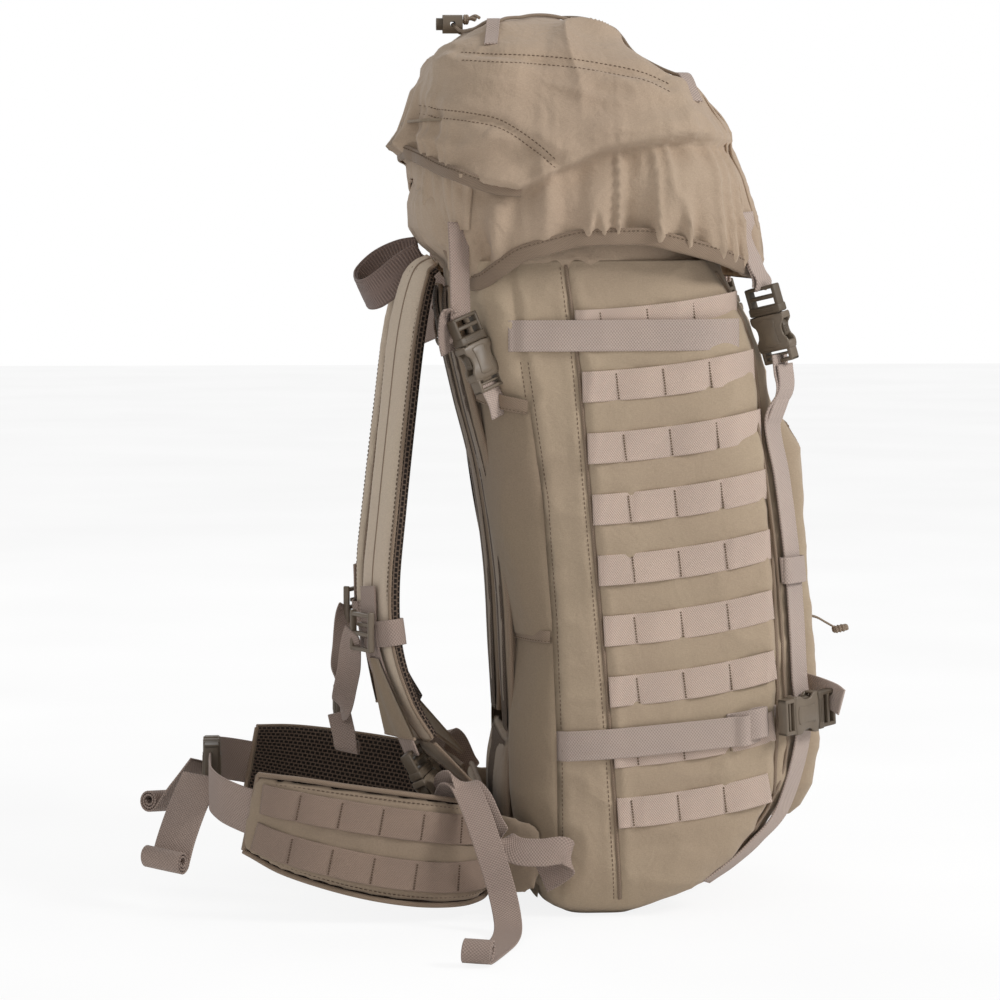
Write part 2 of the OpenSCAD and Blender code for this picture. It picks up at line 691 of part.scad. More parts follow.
module sternum_buckle_plug() {
    color([0.42, 0.39, 0.32]) at_sternum_buckle() buckle_plug(sternum_w, buckle_t - 1);
}
module sternum_latch_upper() {
    color([0.42, 0.39, 0.32]) at_sternum_buckle() latch_arm(sternum_w, buckle_t - 1);
}
module sternum_latch_lower() {
    color([0.42, 0.39, 0.32]) at_sternum_buckle() mirror([1, 0, 0])
        latch_arm(sternum_w, buckle_t - 1);
}

// ---- Haul loop: a sewn handle of doubled webbing
haul_hinge = [0, 224, 551];
module haul_loop() {
    color([0.55, 0.49, 0.45])
    strap(smooth([[-30, 227, 551], [-31, 242, 549], [-29, 262, 541], [-18, 277, 530], [0, 282, 525],
        [18, 277, 530], [29, 262, 541], [31, 242, 549], [30, 227, 551]], 3), [0, 0.35, 1], 30, 3.6);
}

// ---- Hip belt
belt_pivot_x = 112;
belt_pivot_y = 176;
module lumbar_belt() {
    color([0.3, 0.26, 0.22])
    pad([[-100, 178, 56], [-60, 179, 56], [0, 180, 56], [60, 179, 56], [100, 178, 56]], [0, 0, 1],
        [76, 84, 88, 84, 76], [8, belt_t, belt_t, belt_t, 8], 12);
}

belt_path = [[-114, 182, 54], [-132, 190, 54], [-150, 206, 56], [-161, 234, 60], [-165, 270, 66],
    [-163, 310, 74], [-154, 346, 82], [-140, 376, 90]];
belt_heights = [70, 78, 84, 88, 88, 84, 78, 66];
module belt_wing() {
    pad(smooth(belt_path, 2), [0, 0.12, 1], spread(belt_heights),
        [for (i = [0 : 2 * len(belt_path) - 2]) i < 2 || i > 2 * len(belt_path) - 4 ? 8 : belt_t], 16);
}
module belt_wing_left() {
    color([0.55, 0.5, 0.42]) belt_wing();
}
module belt_wing_right() {
    color([0.55, 0.5, 0.42]) mirror([1, 0, 0]) belt_wing();
}

belt_web = 38;
belt_strap_path = [[-137, 384, 93], [-120, 400, 98], [-96, 409, 102], [-70, 411, 104]];
belt_tail_path = [[-58, 419, 98], [-68, 430, 82], [-78, 438, 56], [-88, 440, 30], [-96, 434, 8]];

// The strap on one wing, in to the end of its half of the buckle, and its loose tail
module belt_strap(inner_x) {
    strap(concat(belt_strap_path, [[inner_x, 411, 104]]), [0, 0, 1], belt_web, web_t);
    strap(belt_tail_path, [0.5, 1, 0], belt_web, web_t);
}
module belt_strap_left() {
    color([0.6, 0.54, 0.49]) belt_strap(-17);
}
module belt_strap_right() {
    color([0.6, 0.54, 0.49]) mirror([1, 0, 0]) belt_strap(-50);
}

module belt_buckle_socket() {
    color([0.45, 0.42, 0.35]) at_belt_buckle() buckle_socket(belt_buckle_w, buckle_t + 3);
}
module belt_buckle_plug() {
    color([0.42, 0.39, 0.32]) at_belt_buckle() buckle_plug(belt_buckle_w, buckle_t + 3);
}
module belt_latch_upper() {
    color([0.42, 0.39, 0.32]) at_belt_buckle() latch_arm(belt_buckle_w, buckle_t + 3);
}
module belt_latch_lower() {
    color([0.42, 0.39, 0.32]) at_belt_buckle() mirror([1, 0, 0]) latch_arm(belt_buckle_w, buckle_t + 3);
}

bag_shell();
bag_collar();
collar_drawcord();
frame_sheet();
frame_stays();
back_pads();
side_ladders();
wand_pockets();
compression_straps();
compression_buckle_sockets();
compression_buckle_plugs();
front_pocket();
pocket_zip();
zip_slider();
zip_pull();
front_straps();
front_buckle_sockets();
strap_keepers();
haul_loop();
lid_anchor_tabs();
harness_corner_tabs();
lid_shell();
lid_floor();
lid_hem();
shock_cord();
cord_loops();
cord_lock_barrel();
cord_lock_plunger();
cord_lock_spring();
lid_front_straps();
front_buckle_plugs();
front_latch_left_outer();
front_latch_left_inner();
front_latch_right_outer();
front_latch_right_inner();
lid_rear_straps();
rear_buckles();
shoulder_pads();
shoulder_linings();
adjuster_straps();
adjuster_buckles();
adjuster_links();
adjuster_tails();
sternum_sliders();
sternum_strap();
sternum_buckle_socket();
sternum_buckle_plug();
sternum_latch_upper();
sternum_latch_lower();
lumbar_belt();
belt_wing_left();
belt_wing_right();
belt_strap_left();
belt_strap_right();
belt_buckle_socket();
belt_buckle_plug();
belt_latch_upper();
belt_latch_lower();
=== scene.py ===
import math

import bpy
import numpy as np
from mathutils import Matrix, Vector
from mathutils.bvhtree import BVHTree


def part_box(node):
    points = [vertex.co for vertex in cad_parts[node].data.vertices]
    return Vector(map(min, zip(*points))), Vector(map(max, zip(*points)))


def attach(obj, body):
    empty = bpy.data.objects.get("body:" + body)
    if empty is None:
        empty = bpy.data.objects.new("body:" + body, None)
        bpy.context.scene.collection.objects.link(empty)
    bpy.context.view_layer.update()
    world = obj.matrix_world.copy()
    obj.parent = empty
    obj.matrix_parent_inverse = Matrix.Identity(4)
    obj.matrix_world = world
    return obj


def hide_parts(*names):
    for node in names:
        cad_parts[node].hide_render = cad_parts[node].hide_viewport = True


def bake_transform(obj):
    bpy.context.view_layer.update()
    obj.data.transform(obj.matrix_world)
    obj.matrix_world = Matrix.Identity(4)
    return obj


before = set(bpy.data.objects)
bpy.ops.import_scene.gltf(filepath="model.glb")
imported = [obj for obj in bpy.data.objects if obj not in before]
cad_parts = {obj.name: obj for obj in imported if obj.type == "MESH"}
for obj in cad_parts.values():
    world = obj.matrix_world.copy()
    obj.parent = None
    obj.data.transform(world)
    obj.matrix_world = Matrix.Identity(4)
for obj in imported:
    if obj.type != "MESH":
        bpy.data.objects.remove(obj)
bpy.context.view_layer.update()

MM = 0.001   # shapes are written in millimetres, and Blender works in metres

# ---------------------------------------------------------------- camera

scene = bpy.context.scene
scene.view_settings.view_transform = "Standard"


def look_at(obj, place, target):
    obj.location = place
    obj.rotation_euler = (Vector(target) - Vector(place)).to_track_quat("-Z", "Y").to_euler()


camera_data = bpy.data.cameras.new("camera")
camera_data.lens = 131.8
camera_data.sensor_width = 36
camera_data.clip_end = 100
camera = bpy.data.objects.new("camera", camera_data)
scene.collection.objects.link(camera)
look_at(camera, (-3.163, 0.380, 0.577), (0, 0.159, 0.339))
scene.camera = camera

# ---------------------------------------------------------------- numbers and noise


def table(rows, at):
    """The second column of a table at a value of its first."""
    rows = np.asarray(rows, float)
    return np.interp(at, rows[:, 0], rows[:, 1])


def spow(value, power):
    """A power that keeps the sign."""
    return np.sign(value) * np.abs(value) ** power


def unit(v):
    v = np.asarray(v, float)
    return v / np.maximum(np.linalg.norm(v, axis=-1, keepdims=True), 1e-9)


def bump_at(value, place, width):
    """A smooth hump of height 1 round a place."""
    return np.exp(-((value - place) / width) ** 2)


def between_points(where, run, values):
    """Rows of values, known at the lengths run, worked out at other lengths."""
    values = np.asarray(values, float)
    return np.column_stack([np.interp(where, run, values[:, k]) for k in range(values.shape[1])])


def stretched(values, count):
    """Rows of values spread evenly over count rows."""
    return between_points(np.linspace(0, 1, count), np.linspace(0, 1, len(values)), values)


def hashed(ix, iy, iz, seed):
    """Repeatable values from -1 to 1 for whole-number places."""
    n = ix * 374761393 + iy * 668265263 + iz * 2147483647 + seed * 1274126177
    n = (n ^ (n >> 13)) * 1274126177
    return ((n ^ (n >> 16)) & 0xFFFF) / 32767.5 - 1


def noise(points, size, seed=0):
    """Smooth noise from -1 to 1; size is the wavelength, one number or one for each axis."""
    p = np.asarray(points, float) / np.asarray(size, float)
    cell = np.floor(p).astype(np.int64)
    f = p - cell
    f = f * f * (3 - 2 * f)
    total = 0
    for corner in range(8):
        dx, dy, dz = corner & 1, corner >> 1 & 1, corner >> 2 & 1
        weight = ((f[..., 0] if dx else 1 - f[..., 0]) * (f[..., 1] if dy else 1 - f[..., 1])
                  * (f[..., 2] if dz else 1 - f[..., 2]))
        total = total + weight * hashed(cell[..., 0] + dx, cell[..., 1] + dy, cell[..., 2] + dz, seed)
    return total


def creases(points, size, seed=0):
    """Noise with sharp valleys between rounded folds, from -1 to 1."""
    return 1 - 2 * np.abs(noise(points, size, seed)) ** 0.8


def resample(path, step):
    """Points every step millimetres along a smooth curve through given points."""
    path = np.asarray(path, float)
    padded = np.vstack([2 * path[0] - path[1], path, 2 * path[-1] - path[-2]])
    u = np.linspace(0, 1, 12, endpoint=False)[:, None]
    fine = []
    for a, b, c, d in zip(padded, padded[1:], padded[2:], padded[3:]):
        fine.append(b + u * ((c - a) / 2 + u * (a - 2.5 * b + 2 * c - d / 2
                    + u * ((3 * b - 3 * c - a + d) / 2))))
    fine = np.vstack(fine + [path[-1:]])
    length = np.concatenate([[0], np.cumsum(np.linalg.norm(np.diff(fine, axis=0), axis=1))])
    count = max(2, int(round(length[-1] / step)) + 1)
    return between_points(np.linspace(0, length[-1], count), length, fine)


def lengths(path):
    """How far along a path each of its points is."""
    return np.concatenate([[0], np.cumsum(np.linalg.norm(np.diff(path, axis=0), axis=1))])


# ---------------------------------------------------------------- shapes


class Shape:
    """Vertices, faces and texture places that become one piece, in millimetres."""

    def __init__(self):
        self.verts = []
        self.faces = []
        self.uvs = []
        self.count = 0

    def add(self, verts, faces, uvs=None):
        verts = np.asarray(verts, float).reshape(-1, 3)
        if uvs is None:
            uvs = verts[:, 1:]
        self.verts.append(verts)
        self.uvs.append(np.asarray(uvs, float).reshape(-1, 2))
        self.faces.extend([tuple(k + self.count for k in face) for face in faces])
        self.count += len(verts)
        return self

    def grid(self, points, uvs=None, wrap=False):
        """A surface through rows of points."""
        rows, cols = points.shape[:2]
        last = cols if wrap else cols - 1
        faces = []
        for low in range(0, (rows - 1) * cols, cols):
            high = low + cols
            faces += [(low + j, low + (j + 1) % cols, high + (j + 1) % cols, high + j) for j in range(last)]
        return self.add(points, faces, uvs)

    def itself(self):
        """The shape as it is, for tables of ways to turn one."""
        return self

    def mirrored(self):
        """The same shape on the other side of the middle."""
        other = Shape()
        verts = np.vstack(self.verts) * [-1, 1, 1]
        return other.add(verts, [face[::-1] for face in self.faces], np.vstack(self.uvs))

    def join(self, other):
        return self.add(np.vstack(other.verts), other.faces, np.vstack(other.uvs))

    def both_sides(self):
        return self.join(self.mirrored())

    def moved(self, matrix):
        """The same shape turned and moved by a 4 by 4 matrix."""
        other = Shape()
        verts = np.vstack(self.verts) @ matrix[:3, :3].T + matrix[:3, 3]
        return other.add(verts, self.faces, np.vstack(self.uvs))


def directions(path, across):
    """For each point of a path: along it, over its width, and out of its face."""
    along = unit(np.gradient(path, axis=0))
    across = np.broadcast_to(np.asarray(across, float), path.shape)
    face = unit(np.cross(along, across))
    return along, np.cross(face, along), face


# One face of a strap's section: the place over its half width and the height over its half thickness
WEB_EDGE = [(-1, 0.3), (-0.97, 1), (-0.9, 0.9), (-0.45, 1), (0, 1), (0.45, 1), (0.9, 0.9), (0.97, 1),
            (1, 0.3)]


def webbing(path, across, width, thick=1.8, step=3, shape=None):
    """A flat strap along a path, with slightly raised edges."""
    shape = shape or Shape()
    path = resample(path, step)
    if np.ndim(across) == 2:
        across = stretched(across, len(path))
    _, wide, face = directions(path, across)
    section = WEB_EDGE + [(a, -b) for a, b in WEB_EDGE[::-1]]
    points = np.stack([path + wide * a * width / 2 + face * b * thick / 2 for a, b in section], axis=1)
    run = lengths(path)
    uvs = np.stack([np.column_stack([run, np.full(len(run), a * width / 2)]) for a, b in section], axis=1)
    shape.grid(points, uvs, wrap=True)
    n = len(section)
    base = shape.count - len(path) * n
    half = n // 2
    for start in (base, shape.count - n):
        for k in range(half - 1):
            quad = (start + k, start + k + 1, start + n - 2 - k, start + n - 1 - k)
            shape.faces.append(quad if start != base else quad[::-1])
    return shape


def tube(path, radius, sides=10, step=2.5, shape=None):
    """A round cord along a path."""
    shape = shape or Shape()
    path = resample(path, step)
    along = unit(np.gradient(path, axis=0))
    side = np.cross(along[0], [0, 0, 1] if abs(along[0][2]) < 0.9 else [0, 1, 0])
    rings = []
    for k, place in enumerate(path):
        side = unit(side - along[k] * np.dot(side, along[k]))
        other = np.cross(along[k], side)
        turn = np.linspace(0, 2 * math.pi, sides + 1)[:, None]
        rings.append(place + (np.cos(turn) * side + np.sin(turn) * other) * radius)
    run = lengths(path)
    around = np.linspace(0, 2 * math.pi * radius, sides + 1)
    uvs = np.stack(np.meshgrid(run, around, indexing="ij"), axis=-1)
    shape.grid(np.array(rings), uvs)
    fan = [(k, (k + 1) % sides, sides) for k in range(sides)]
    for end in (0, -1):
        shape.add(np.vstack([rings[end][:-1], path[end]]), fan)
    return shape


# Stitches: length, space between, width and height
SEAM_STITCH = (2.4, 1.5, 0.7, 0.4)
HEM_STITCH = (2.2, 1.6, 0.9, 0.5)
BAR_TACK = (1.7, 0.5, 1.5, 0.6)


def dashes(path, out, length, space, wide, high, shape):
    """A row of stitches along a path; out is the way they stand off the cloth."""
    path = resample(path, 0.8)
    run = lengths(path)
    if np.ndim(out) == 1:
        out = np.broadcast_to(np.asarray(out, float), (len(path), 3))
    else:
        out = stretched(out, len(path))
    share = np.array([0, 0.2, 0.8, 1])
    rise = np.array([-0.4, 1, 1, -0.4])
    for start in np.arange(0, max(run[-1] - length, 0.1), length + space):
        where = start + share * length
        middle = between_points(where, run, path)
        normal = unit(between_points(where, run, out))
        side = unit(np.cross(unit(middle[-1] - middle[0]), normal))
        top = middle + normal * (rise * high)[:, None]
        points = np.stack([middle - side * wide / 2 - normal * 0.4, top - side * wide / 3,
                           top + side * wide / 3, middle + side * wide / 2 - normal * 0.4], axis=1)
        shape.grid(points)
    return shape


def plate(outline, low, high, bevel=0.8, shape=None):
    """A flat outline in X and Z with rounded edges, thick in Y; outline runs once round."""
    shape = shape or Shape()
    flat = np.asarray(outline, float)
    ahead = unit(np.roll(flat, -1, axis=0) - flat)
    behind = unit(flat - np.roll(flat, 1, axis=0))
    normal = unit(np.column_stack([ahead[:, 1] + behind[:, 1], -ahead[:, 0] - behind[:, 0]]))
    area = np.sum(flat[:, 0] * np.roll(flat[:, 1], -1) - np.roll(flat[:, 0], -1) * flat[:, 1])
    if area < 0:
        normal = -normal
    turn = np.clip(1 / np.maximum(np.sum(normal * np.column_stack([ahead[:, 1], -ahead[:, 0]])
                   * np.sign(area), axis=1), 0.5), 1, 1.6)[:, None]
    levels = [(low, bevel), (low + bevel * 0.3, bevel * 0.3), (low + bevel, 0), (high - bevel, 0),
              (high - bevel * 0.3, bevel * 0.3), (high, bevel)]
    rings = []
    for y, inset in levels:
        edge = flat - normal * turn * inset
        rings.append(np.column_stack([edge[:, 0], np.full(len(flat), y), edge[:, 1]]))
    base = shape.count
    shape.grid(np.array(rings), wrap=True)
    n = len(flat)
    shape.faces.append(tuple(base + k for k in range(n))[::-1])
    shape.faces.append(tuple(base + (len(levels) - 1) * n + k for k in range(n)))
    return shape


def block(x0, x1, y0, y1, z0, z1, bevel=0.8, corner=1.5, shape=None):
    """A bar with rounded corners and edges."""
    corner = min(corner, (x1 - x0) / 2.2, (z1 - z0) / 2.2)
    bevel = min(bevel, (y1 - y0) / 2.2, (x1 - x0) / 3, (z1 - z0) / 3)
    outline = []
    for cx, cz, start in ((x1 - corner, z1 - corner, 0), (x0 + corner, z1 - corner, 90),
                          (x0 + corner, z0 + corner, 180), (x1 - corner, z0 + corner, 270)):
        for k in range(4):
            turn = math.radians(start + 30 * k)
            outline.append((cx + corner * math.cos(turn), cz + corner * math.sin(turn)))
    return plate(outline, y0, y1, bevel, shape)


def smooth_outline(points, times=2):
    """A closed outline with its corners cut round."""
    points = np.asarray(points, float)
    for _ in range(times):
        following = np.roll(points, -1, axis=0)
        points = np.stack([points * 0.75 + following * 0.25, points * 0.25 + following * 0.75],
                          axis=1).reshape(-1, 2)
    return points


def make_piece(name, shape, body, material, replaces=()):
    """Turns a shape into a Blender object that rides on a body."""
    mesh = bpy.data.meshes.new(name)
    verts = np.vstack(shape.verts) * MM
    mesh.from_pydata(verts.tolist(), [], shape.faces)
    layer = mesh.uv_layers.new(name="length")
    spots = np.zeros(len(mesh.loops), np.int64)
    mesh.loops.foreach_get("vertex_index", spots)
    layer.data.foreach_set("uv", (np.vstack(shape.uvs) * MM)[spots].ravel())
    mesh.polygons.foreach_set("use_smooth", np.ones(len(mesh.polygons), bool))
    mesh.validate()
    mesh.update()
    obj = bpy.data.objects.new(name, mesh)
    scene.collection.objects.link(obj)
    mesh.materials.append(material)
    if body:
        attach(obj, body)
    if replaces:
        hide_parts(*replaces)
    return obj


def surface_of(*objs):
    """A surface that rays can hit, in metres, from finished pieces."""
    verts = []
    faces = []
    for obj in objs:
        base = len(verts)
        verts.extend([v.co.copy() for v in obj.data.vertices])
        faces.extend([tuple(base + k for k in p.vertices) for p in obj.data.polygons])
    return BVHTree.FromPolygons(verts, faces)


# Rough places of points before they are laid on the left side, on the pocket and on the lid
BESIDE = -260
BEFORE = -150
ABOVE = 800

DRAPE_BEFORE = 260   # how far before its place a point starts on its way to a surface
DRAPE_REACH = 200    # and how far past its place it may go


def drape(points, surface, direction, stand_off):
    """Moves points along a direction until they lie on a surface, and lifts them by stand_off.
    Points that miss keep their place."""
    points = np.array(points, float)
    shape = points.shape
    flat = points.reshape(-1, 3)
    ways = np.broadcast_to(unit(np.asarray(direction, float)), flat.shape)
    for k, (place, way) in enumerate(zip(flat, ways)):
        start = Vector((place - way * DRAPE_BEFORE) * MM)
        hit = surface.ray_cast(start, Vector(way))[0]
        if hit is not None and (np.array(hit) / MM - place) @ way < DRAPE_REACH:
            flat[k] = np.array(hit) / MM - way * stand_off
    return flat.reshape(shape)


# ---------------------------------------------------------------- materials


def linear(r, g, b):
    """A colour given as it looks on a screen, 0 to 255, for a shader."""
    return tuple(((c / 255 + 0.055) / 1.055) ** 2.4 if c > 10 else c / 3294 for c in (r, g, b)) + (1,)


class Nodes:
    """A material under construction."""

    def __init__(self, name, roughness, specular=0.3, metallic=0.0):
        self.material = bpy.data.materials.new(name)
        self.material.use_nodes = True
        self.tree = self.material.node_tree
        self.shader = self.tree.nodes["Principled BSDF"]
        self.shader.inputs["Roughness"].default_value = roughness
        self.shader.inputs["Specular IOR Level"].default_value = specular
        self.shader.inputs["Metallic"].default_value = metallic
        self.object_place = self.node("ShaderNodeTexCoord").outputs["Object"]
        self.uv_place = self.node("ShaderNodeTexCoord").outputs["UV"]
        self.relief = None

    def node(self, kind, **settings):
        made = self.tree.nodes.new(kind)
        for name, value in settings.items():
            setattr(made, name, value)
        return made

    def link(self, source, target):
        self.tree.links.new(source, target)

    def noise(self, scale, detail=3, place=None, distortion=0, stretch=None):
        place = place or self.object_place
        if stretch:
            mapping = self.node("ShaderNodeMapping")
            mapping.inputs["Scale"].default_value = stretch
            self.link(place, mapping.inputs["Vector"])
            place = mapping.outputs["Vector"]
        made = self.node("ShaderNodeTexNoise")
        made.inputs["Scale"].default_value = scale
        made.inputs["Detail"].default_value = detail
        made.inputs["Distortion"].default_value = distortion
        self.link(place, made.inputs["Vector"])
        return made.outputs[0]

    def ramp(self, source, stops):
        made = self.node("ShaderNodeValToRGB")
        elements = made.color_ramp.elements
        while len(elements) < len(stops):
            elements.new(0.5)
        for element, (place, value) in zip(elements, stops):
            element.position = place
            element.color = value if len(value) == 4 else (*value, 1)
        self.link(source, made.inputs["Fac"])
        return made.outputs["Color"]

    def mix(self, a, b, factor, kind="MIX"):
        made = self.node("ShaderNodeMix", data_type="RGBA", blend_type=kind)
        for value, socket in ((factor, made.inputs[0]), (a, made.inputs[6]), (b, made.inputs[7])):
            if isinstance(value, (tuple, float, int)):
                socket.default_value = value
            else:
                self.link(value, socket)
        return made.outputs[2]

    def math(self, kind, a, b=0.0):
        made = self.node("ShaderNodeMath", operation=kind)
        for value, socket in ((a, made.inputs[0]), (b, made.inputs[1])):
            if isinstance(value, (float, int)):
                socket.default_value = value
            else:
                self.link(value, socket)
        return made.outputs[0]

    def bump(self, height, strength, distance):
        made = self.node("ShaderNodeBump")
        made.inputs["Strength"].default_value = strength
        made.inputs["Distance"].default_value = distance * MM
        self.link(height, made.inputs["Height"])
        if self.relief:
            self.link(self.relief, made.inputs["Normal"])
        self.relief = made.outputs["Normal"]

    def weave(self, along, across):
        """A grid of small humps on the piece's own length and width, with these spacings in mm."""
        split = self.node("ShaderNodeSeparateXYZ")
        self.link(self.uv_place, split.inputs[0])
        u = self.math("SINE", self.math("MULTIPLY", split.outputs[0], 2 * math.pi / (along * MM)))
        v = self.math("SINE", self.math("MULTIPLY", split.outputs[1], 2 * math.pi / (across * MM)))
        return self.math("MULTIPLY", u, v)

    def weave_hollow_shade(self, cells, low, high):
        """Painted shade in a weave: darker in the hollows between its humps; low and high are (place,
        colour).
        """
        return self.ramp(self.math("ADD", self.math("MULTIPLY", cells, 0.5), 0.5), [low, high])

    def done(self, colour):
        if isinstance(colour, tuple):
            self.shader.inputs["Base Color"].default_value = colour
        else:
            self.link(colour, self.shader.inputs["Base Color"])
        if self.relief:
            self.link(self.relief, self.shader.inputs["Normal"])
        return self.material


def shade(colour, factor):
    """A lighter or darker shade of a colour."""
    return tuple(min(1, c * factor) for c in colour[:3]) + (1,)


def fabric(name, colour, cool=None, wrinkle=1.0):
    """Tightly woven nylon: fine grain, soft mottling and small wrinkles."""
    n = Nodes(name, 0.82, 0.22)
    n.shader.inputs["Sheen Weight"].default_value = 0.12
    n.shader.inputs["Sheen Roughness"].default_value = 0.6
    broad = n.ramp(n.noise(7, 3), [(0.3, shade(colour, 0.93)), (0.72, cool or shade(colour, 1.06))])
    fine = n.ramp(n.noise(1300, 2), [(0.25, (0.86, 0.86, 0.86)), (0.8, (1.06, 1.06, 1.06))])
    threads = n.ramp(n.noise(420, 2, stretch=(1, 1, 4)),
                     [(0.3, (0.95, 0.95, 0.95)), (0.7, (1.03, 1.03, 1.03))])
    worn = n.mix(n.mix(broad, fine, 1.0, "MULTIPLY"), threads, 1.0, "MULTIPLY")
    n.bump(n.noise(28, 5, distortion=0.8), 0.55 * wrinkle, 4)
    n.bump(n.noise(70, 4, distortion=1.2), 0.3 * wrinkle, 1.6)
    n.bump(n.noise(900, 2), 0.35, 0.35)
    return n.done(worn)


def web(name, colour, along=1.7, across=2.4):
    """Woven webbing with ribs along the piece's own length."""
    n = Nodes(name, 0.7, 0.25)
    n.shader.inputs["Sheen Weight"].default_value = 0.1
    cells = n.weave(along, across)
    # painted shade in the hollows of the weave, over the webbing's own colour
    tone = n.weave_hollow_shade(cells, (0.1, shade(colour, 0.7)), (0.8, shade(colour, 1.12)))
    broad = n.ramp(n.noise(16, 3), [(0.3, (0.93, 0.93, 0.94)), (0.7, (1.05, 1.04, 1.03))])
    n.bump(cells, 0.6, 0.4)
    n.bump(n.noise(90, 3), 0.25, 0.8)
    return n.done(n.mix(tone, broad, 1.0, "MULTIPLY"))


def spacer_mesh(name, colour, hole_shade, size=4.6):
    """Open knitted mesh: holes in staggered rows between raised strands, with painted shade as the holes'
    dark colour.
    """
    n = Nodes(name, 0.85, 0.2)
    mapping = n.node("ShaderNodeMapping")
    mapping.inputs["Scale"].default_value = (1 / (size * MM),) * 3
    n.link(n.uv_place, mapping.inputs["Vector"])
    brick = n.node("ShaderNodeTexBrick", offset=0.5, squash=1.0)
    brick.inputs["Scale"].default_value = 1
    brick.inputs["Brick Width"].default_value = 1
    brick.inputs["Row Height"].default_value = 0.8
    brick.inputs["Mortar Size"].default_value = 0.2
    brick.inputs["Mortar Smooth"].default_value = 0.6
    n.link(mapping.outputs["Vector"], brick.inputs["Vector"])
    strands = brick.outputs["Fac"]
    tone = n.ramp(n.noise(700, 2), [(0.3, shade(colour, 0.8)), (0.7, shade(colour, 1.15))])
    n.bump(strands, 0.9, 1.2)
    # the holes take the painted shade colour, the strands the cloth's own tone
    return n.done(n.mix(hole_shade, tone, strands))


def plastic(name, colour, roughness=0.42):
    """Moulded acetal, with a faint sparkle texture and worn tone."""
    n = Nodes(name, roughness, 0.45)
    tone = n.ramp(n.noise(45, 4), [(0.3, shade(colour, 0.88)), (0.75, shade(colour, 1.1))])
    n.bump(n.noise(1500, 2), 0.12, 0.15)
    n.bump(n.noise(160, 2), 0.08, 0.4)
    return n.done(tone)


def thread(name, colour):
    """Sewing thread."""
    n = Nodes(name, 0.75, 0.2)
    tone = n.ramp(n.noise(600, 2), [(0.3, shade(colour, 0.8)), (0.7, shade(colour, 1.15))])
    n.bump(n.noise(1800, 1), 0.3, 0.2)
    return n.done(tone)


def braid(name, colour):
    """Braided cord sheath."""
    n = Nodes(name, 0.7, 0.25)
    cells = n.weave(1.6, 2.3)
    # painted shade in the hollows of the braid's weave, over the cord's own colour
    tone = n.weave_hollow_shade(cells, (0.2, shade(colour, 0.7)), (0.8, shade(colour, 1.2)))
    n.bump(cells, 0.6, 0.3)
    return n.done(tone)


def metal(name, colour, roughness):
    """Drawn metal with marks along its length."""
    n = Nodes(name, roughness, 0.5, 1.0)
    tone = n.ramp(n.noise(200, 3, stretch=(1, 1, 0.1)), [(0.3, shade(colour, 0.85)), (0.7, colour)])
    n.bump(n.noise(400, 2, stretch=(1, 1, 0.1)), 0.1, 0.2)
    return n.done(tone)


PACK = fabric("pack_cloth", linear(178, 157, 134), linear(176, 157, 133))
# a darker copy of the pack cloth with painted shade: the rear side's shade is painted into it, for pole
# pockets, flaps, tabs and the lid floor
PACK_PAINTED_SHADE = fabric("pack_cloth_painted_shade", linear(144, 125, 105), linear(142, 125, 103))
LID = fabric("lid_cloth", linear(182, 159, 137), linear(178, 157, 135), 1.8)
PAD_CLOTH = fabric("pad_cloth", linear(146, 127, 108), linear(150, 132, 112))
BINDING = web("binding_tape", linear(146, 126, 107), 2.2, 1.4)
WEBBING = web("nylon_webbing", linear(184, 166, 155), 2.4, 3.0)
HARNESS_WEB = web("harness_webbing_cloth", linear(160, 141, 130), 2.4, 3.0)
LADDER = web("ladder_webbing", linear(203, 181, 166), 1.9, 2.6)
BELT_ROWS = web("belt_ladder_webbing", linear(150, 129, 114), 1.5, 2.0)
# the second colour of each mesh is painted shade inside its holes
MESH = spacer_mesh("spacer_mesh", linear(104, 88, 76), linear(34, 27, 23))
BACK_MESH = spacer_mesh("back_mesh", linear(118, 101, 86), linear(70, 58, 48), 3.4)
BUCKLE = plastic("buckle_plastic", linear(112, 99, 84))
BUCKLE_DARK = plastic("latch_plastic", linear(92, 80, 66), 0.5)
STITCH = thread("stitching", linear(112, 95, 78))
BARTACK = thread("bar_tacks", linear(96, 79, 66))
CORD = braid("stretch_cord", linear(150, 133, 116))
# a much lighter copy of the pad cloth: painted light on the shoulder straps, whose outer faces turn away
# from the key lamp
SHOULDER_PAINTED_LIGHT = fabric("shoulder_cloth", linear(206, 187, 167), linear(203, 186, 164))
ZIP = plastic("zip_teeth", linear(70, 60, 50), 0.5)
DARK_PLASTIC = plastic("frame_plastic", linear(40, 38, 36), 0.5)
STEEL = metal("spring_steel", linear(180, 180, 184), 0.35)
ALLOY = metal("stay_alloy", linear(186, 188, 192), 0.4)

# ---------------------------------------------------------------- the bag's outline

BAG = np.array([   # height, front edge, back edge, half width
    [0, 50, 118, 130], [8, 30, 132, 146], [22, -2, 139, 155], [43, -33, 145, 161],
    [66, -58, 147, 163], [95, -80, 148, 164], [140, -94, 148, 164], [200, -91, 148, 164],
    [300, -84, 154, 164], [400, -70, 173, 164], [480, -52, 193, 161], [548, -20, 204, 154]], float)
BAG_SQUARE = 4.5   # how square the outline is: 2 is an oval
ROW_TOP = 511      # the middle of the top row of side webbing, at y = -40
ROW_PITCH = 50.8
ROW_TILT = 0.15    # how much a row falls for each millimetre towards the back
ROWS = 9
ROW_WIDTH = 25.4

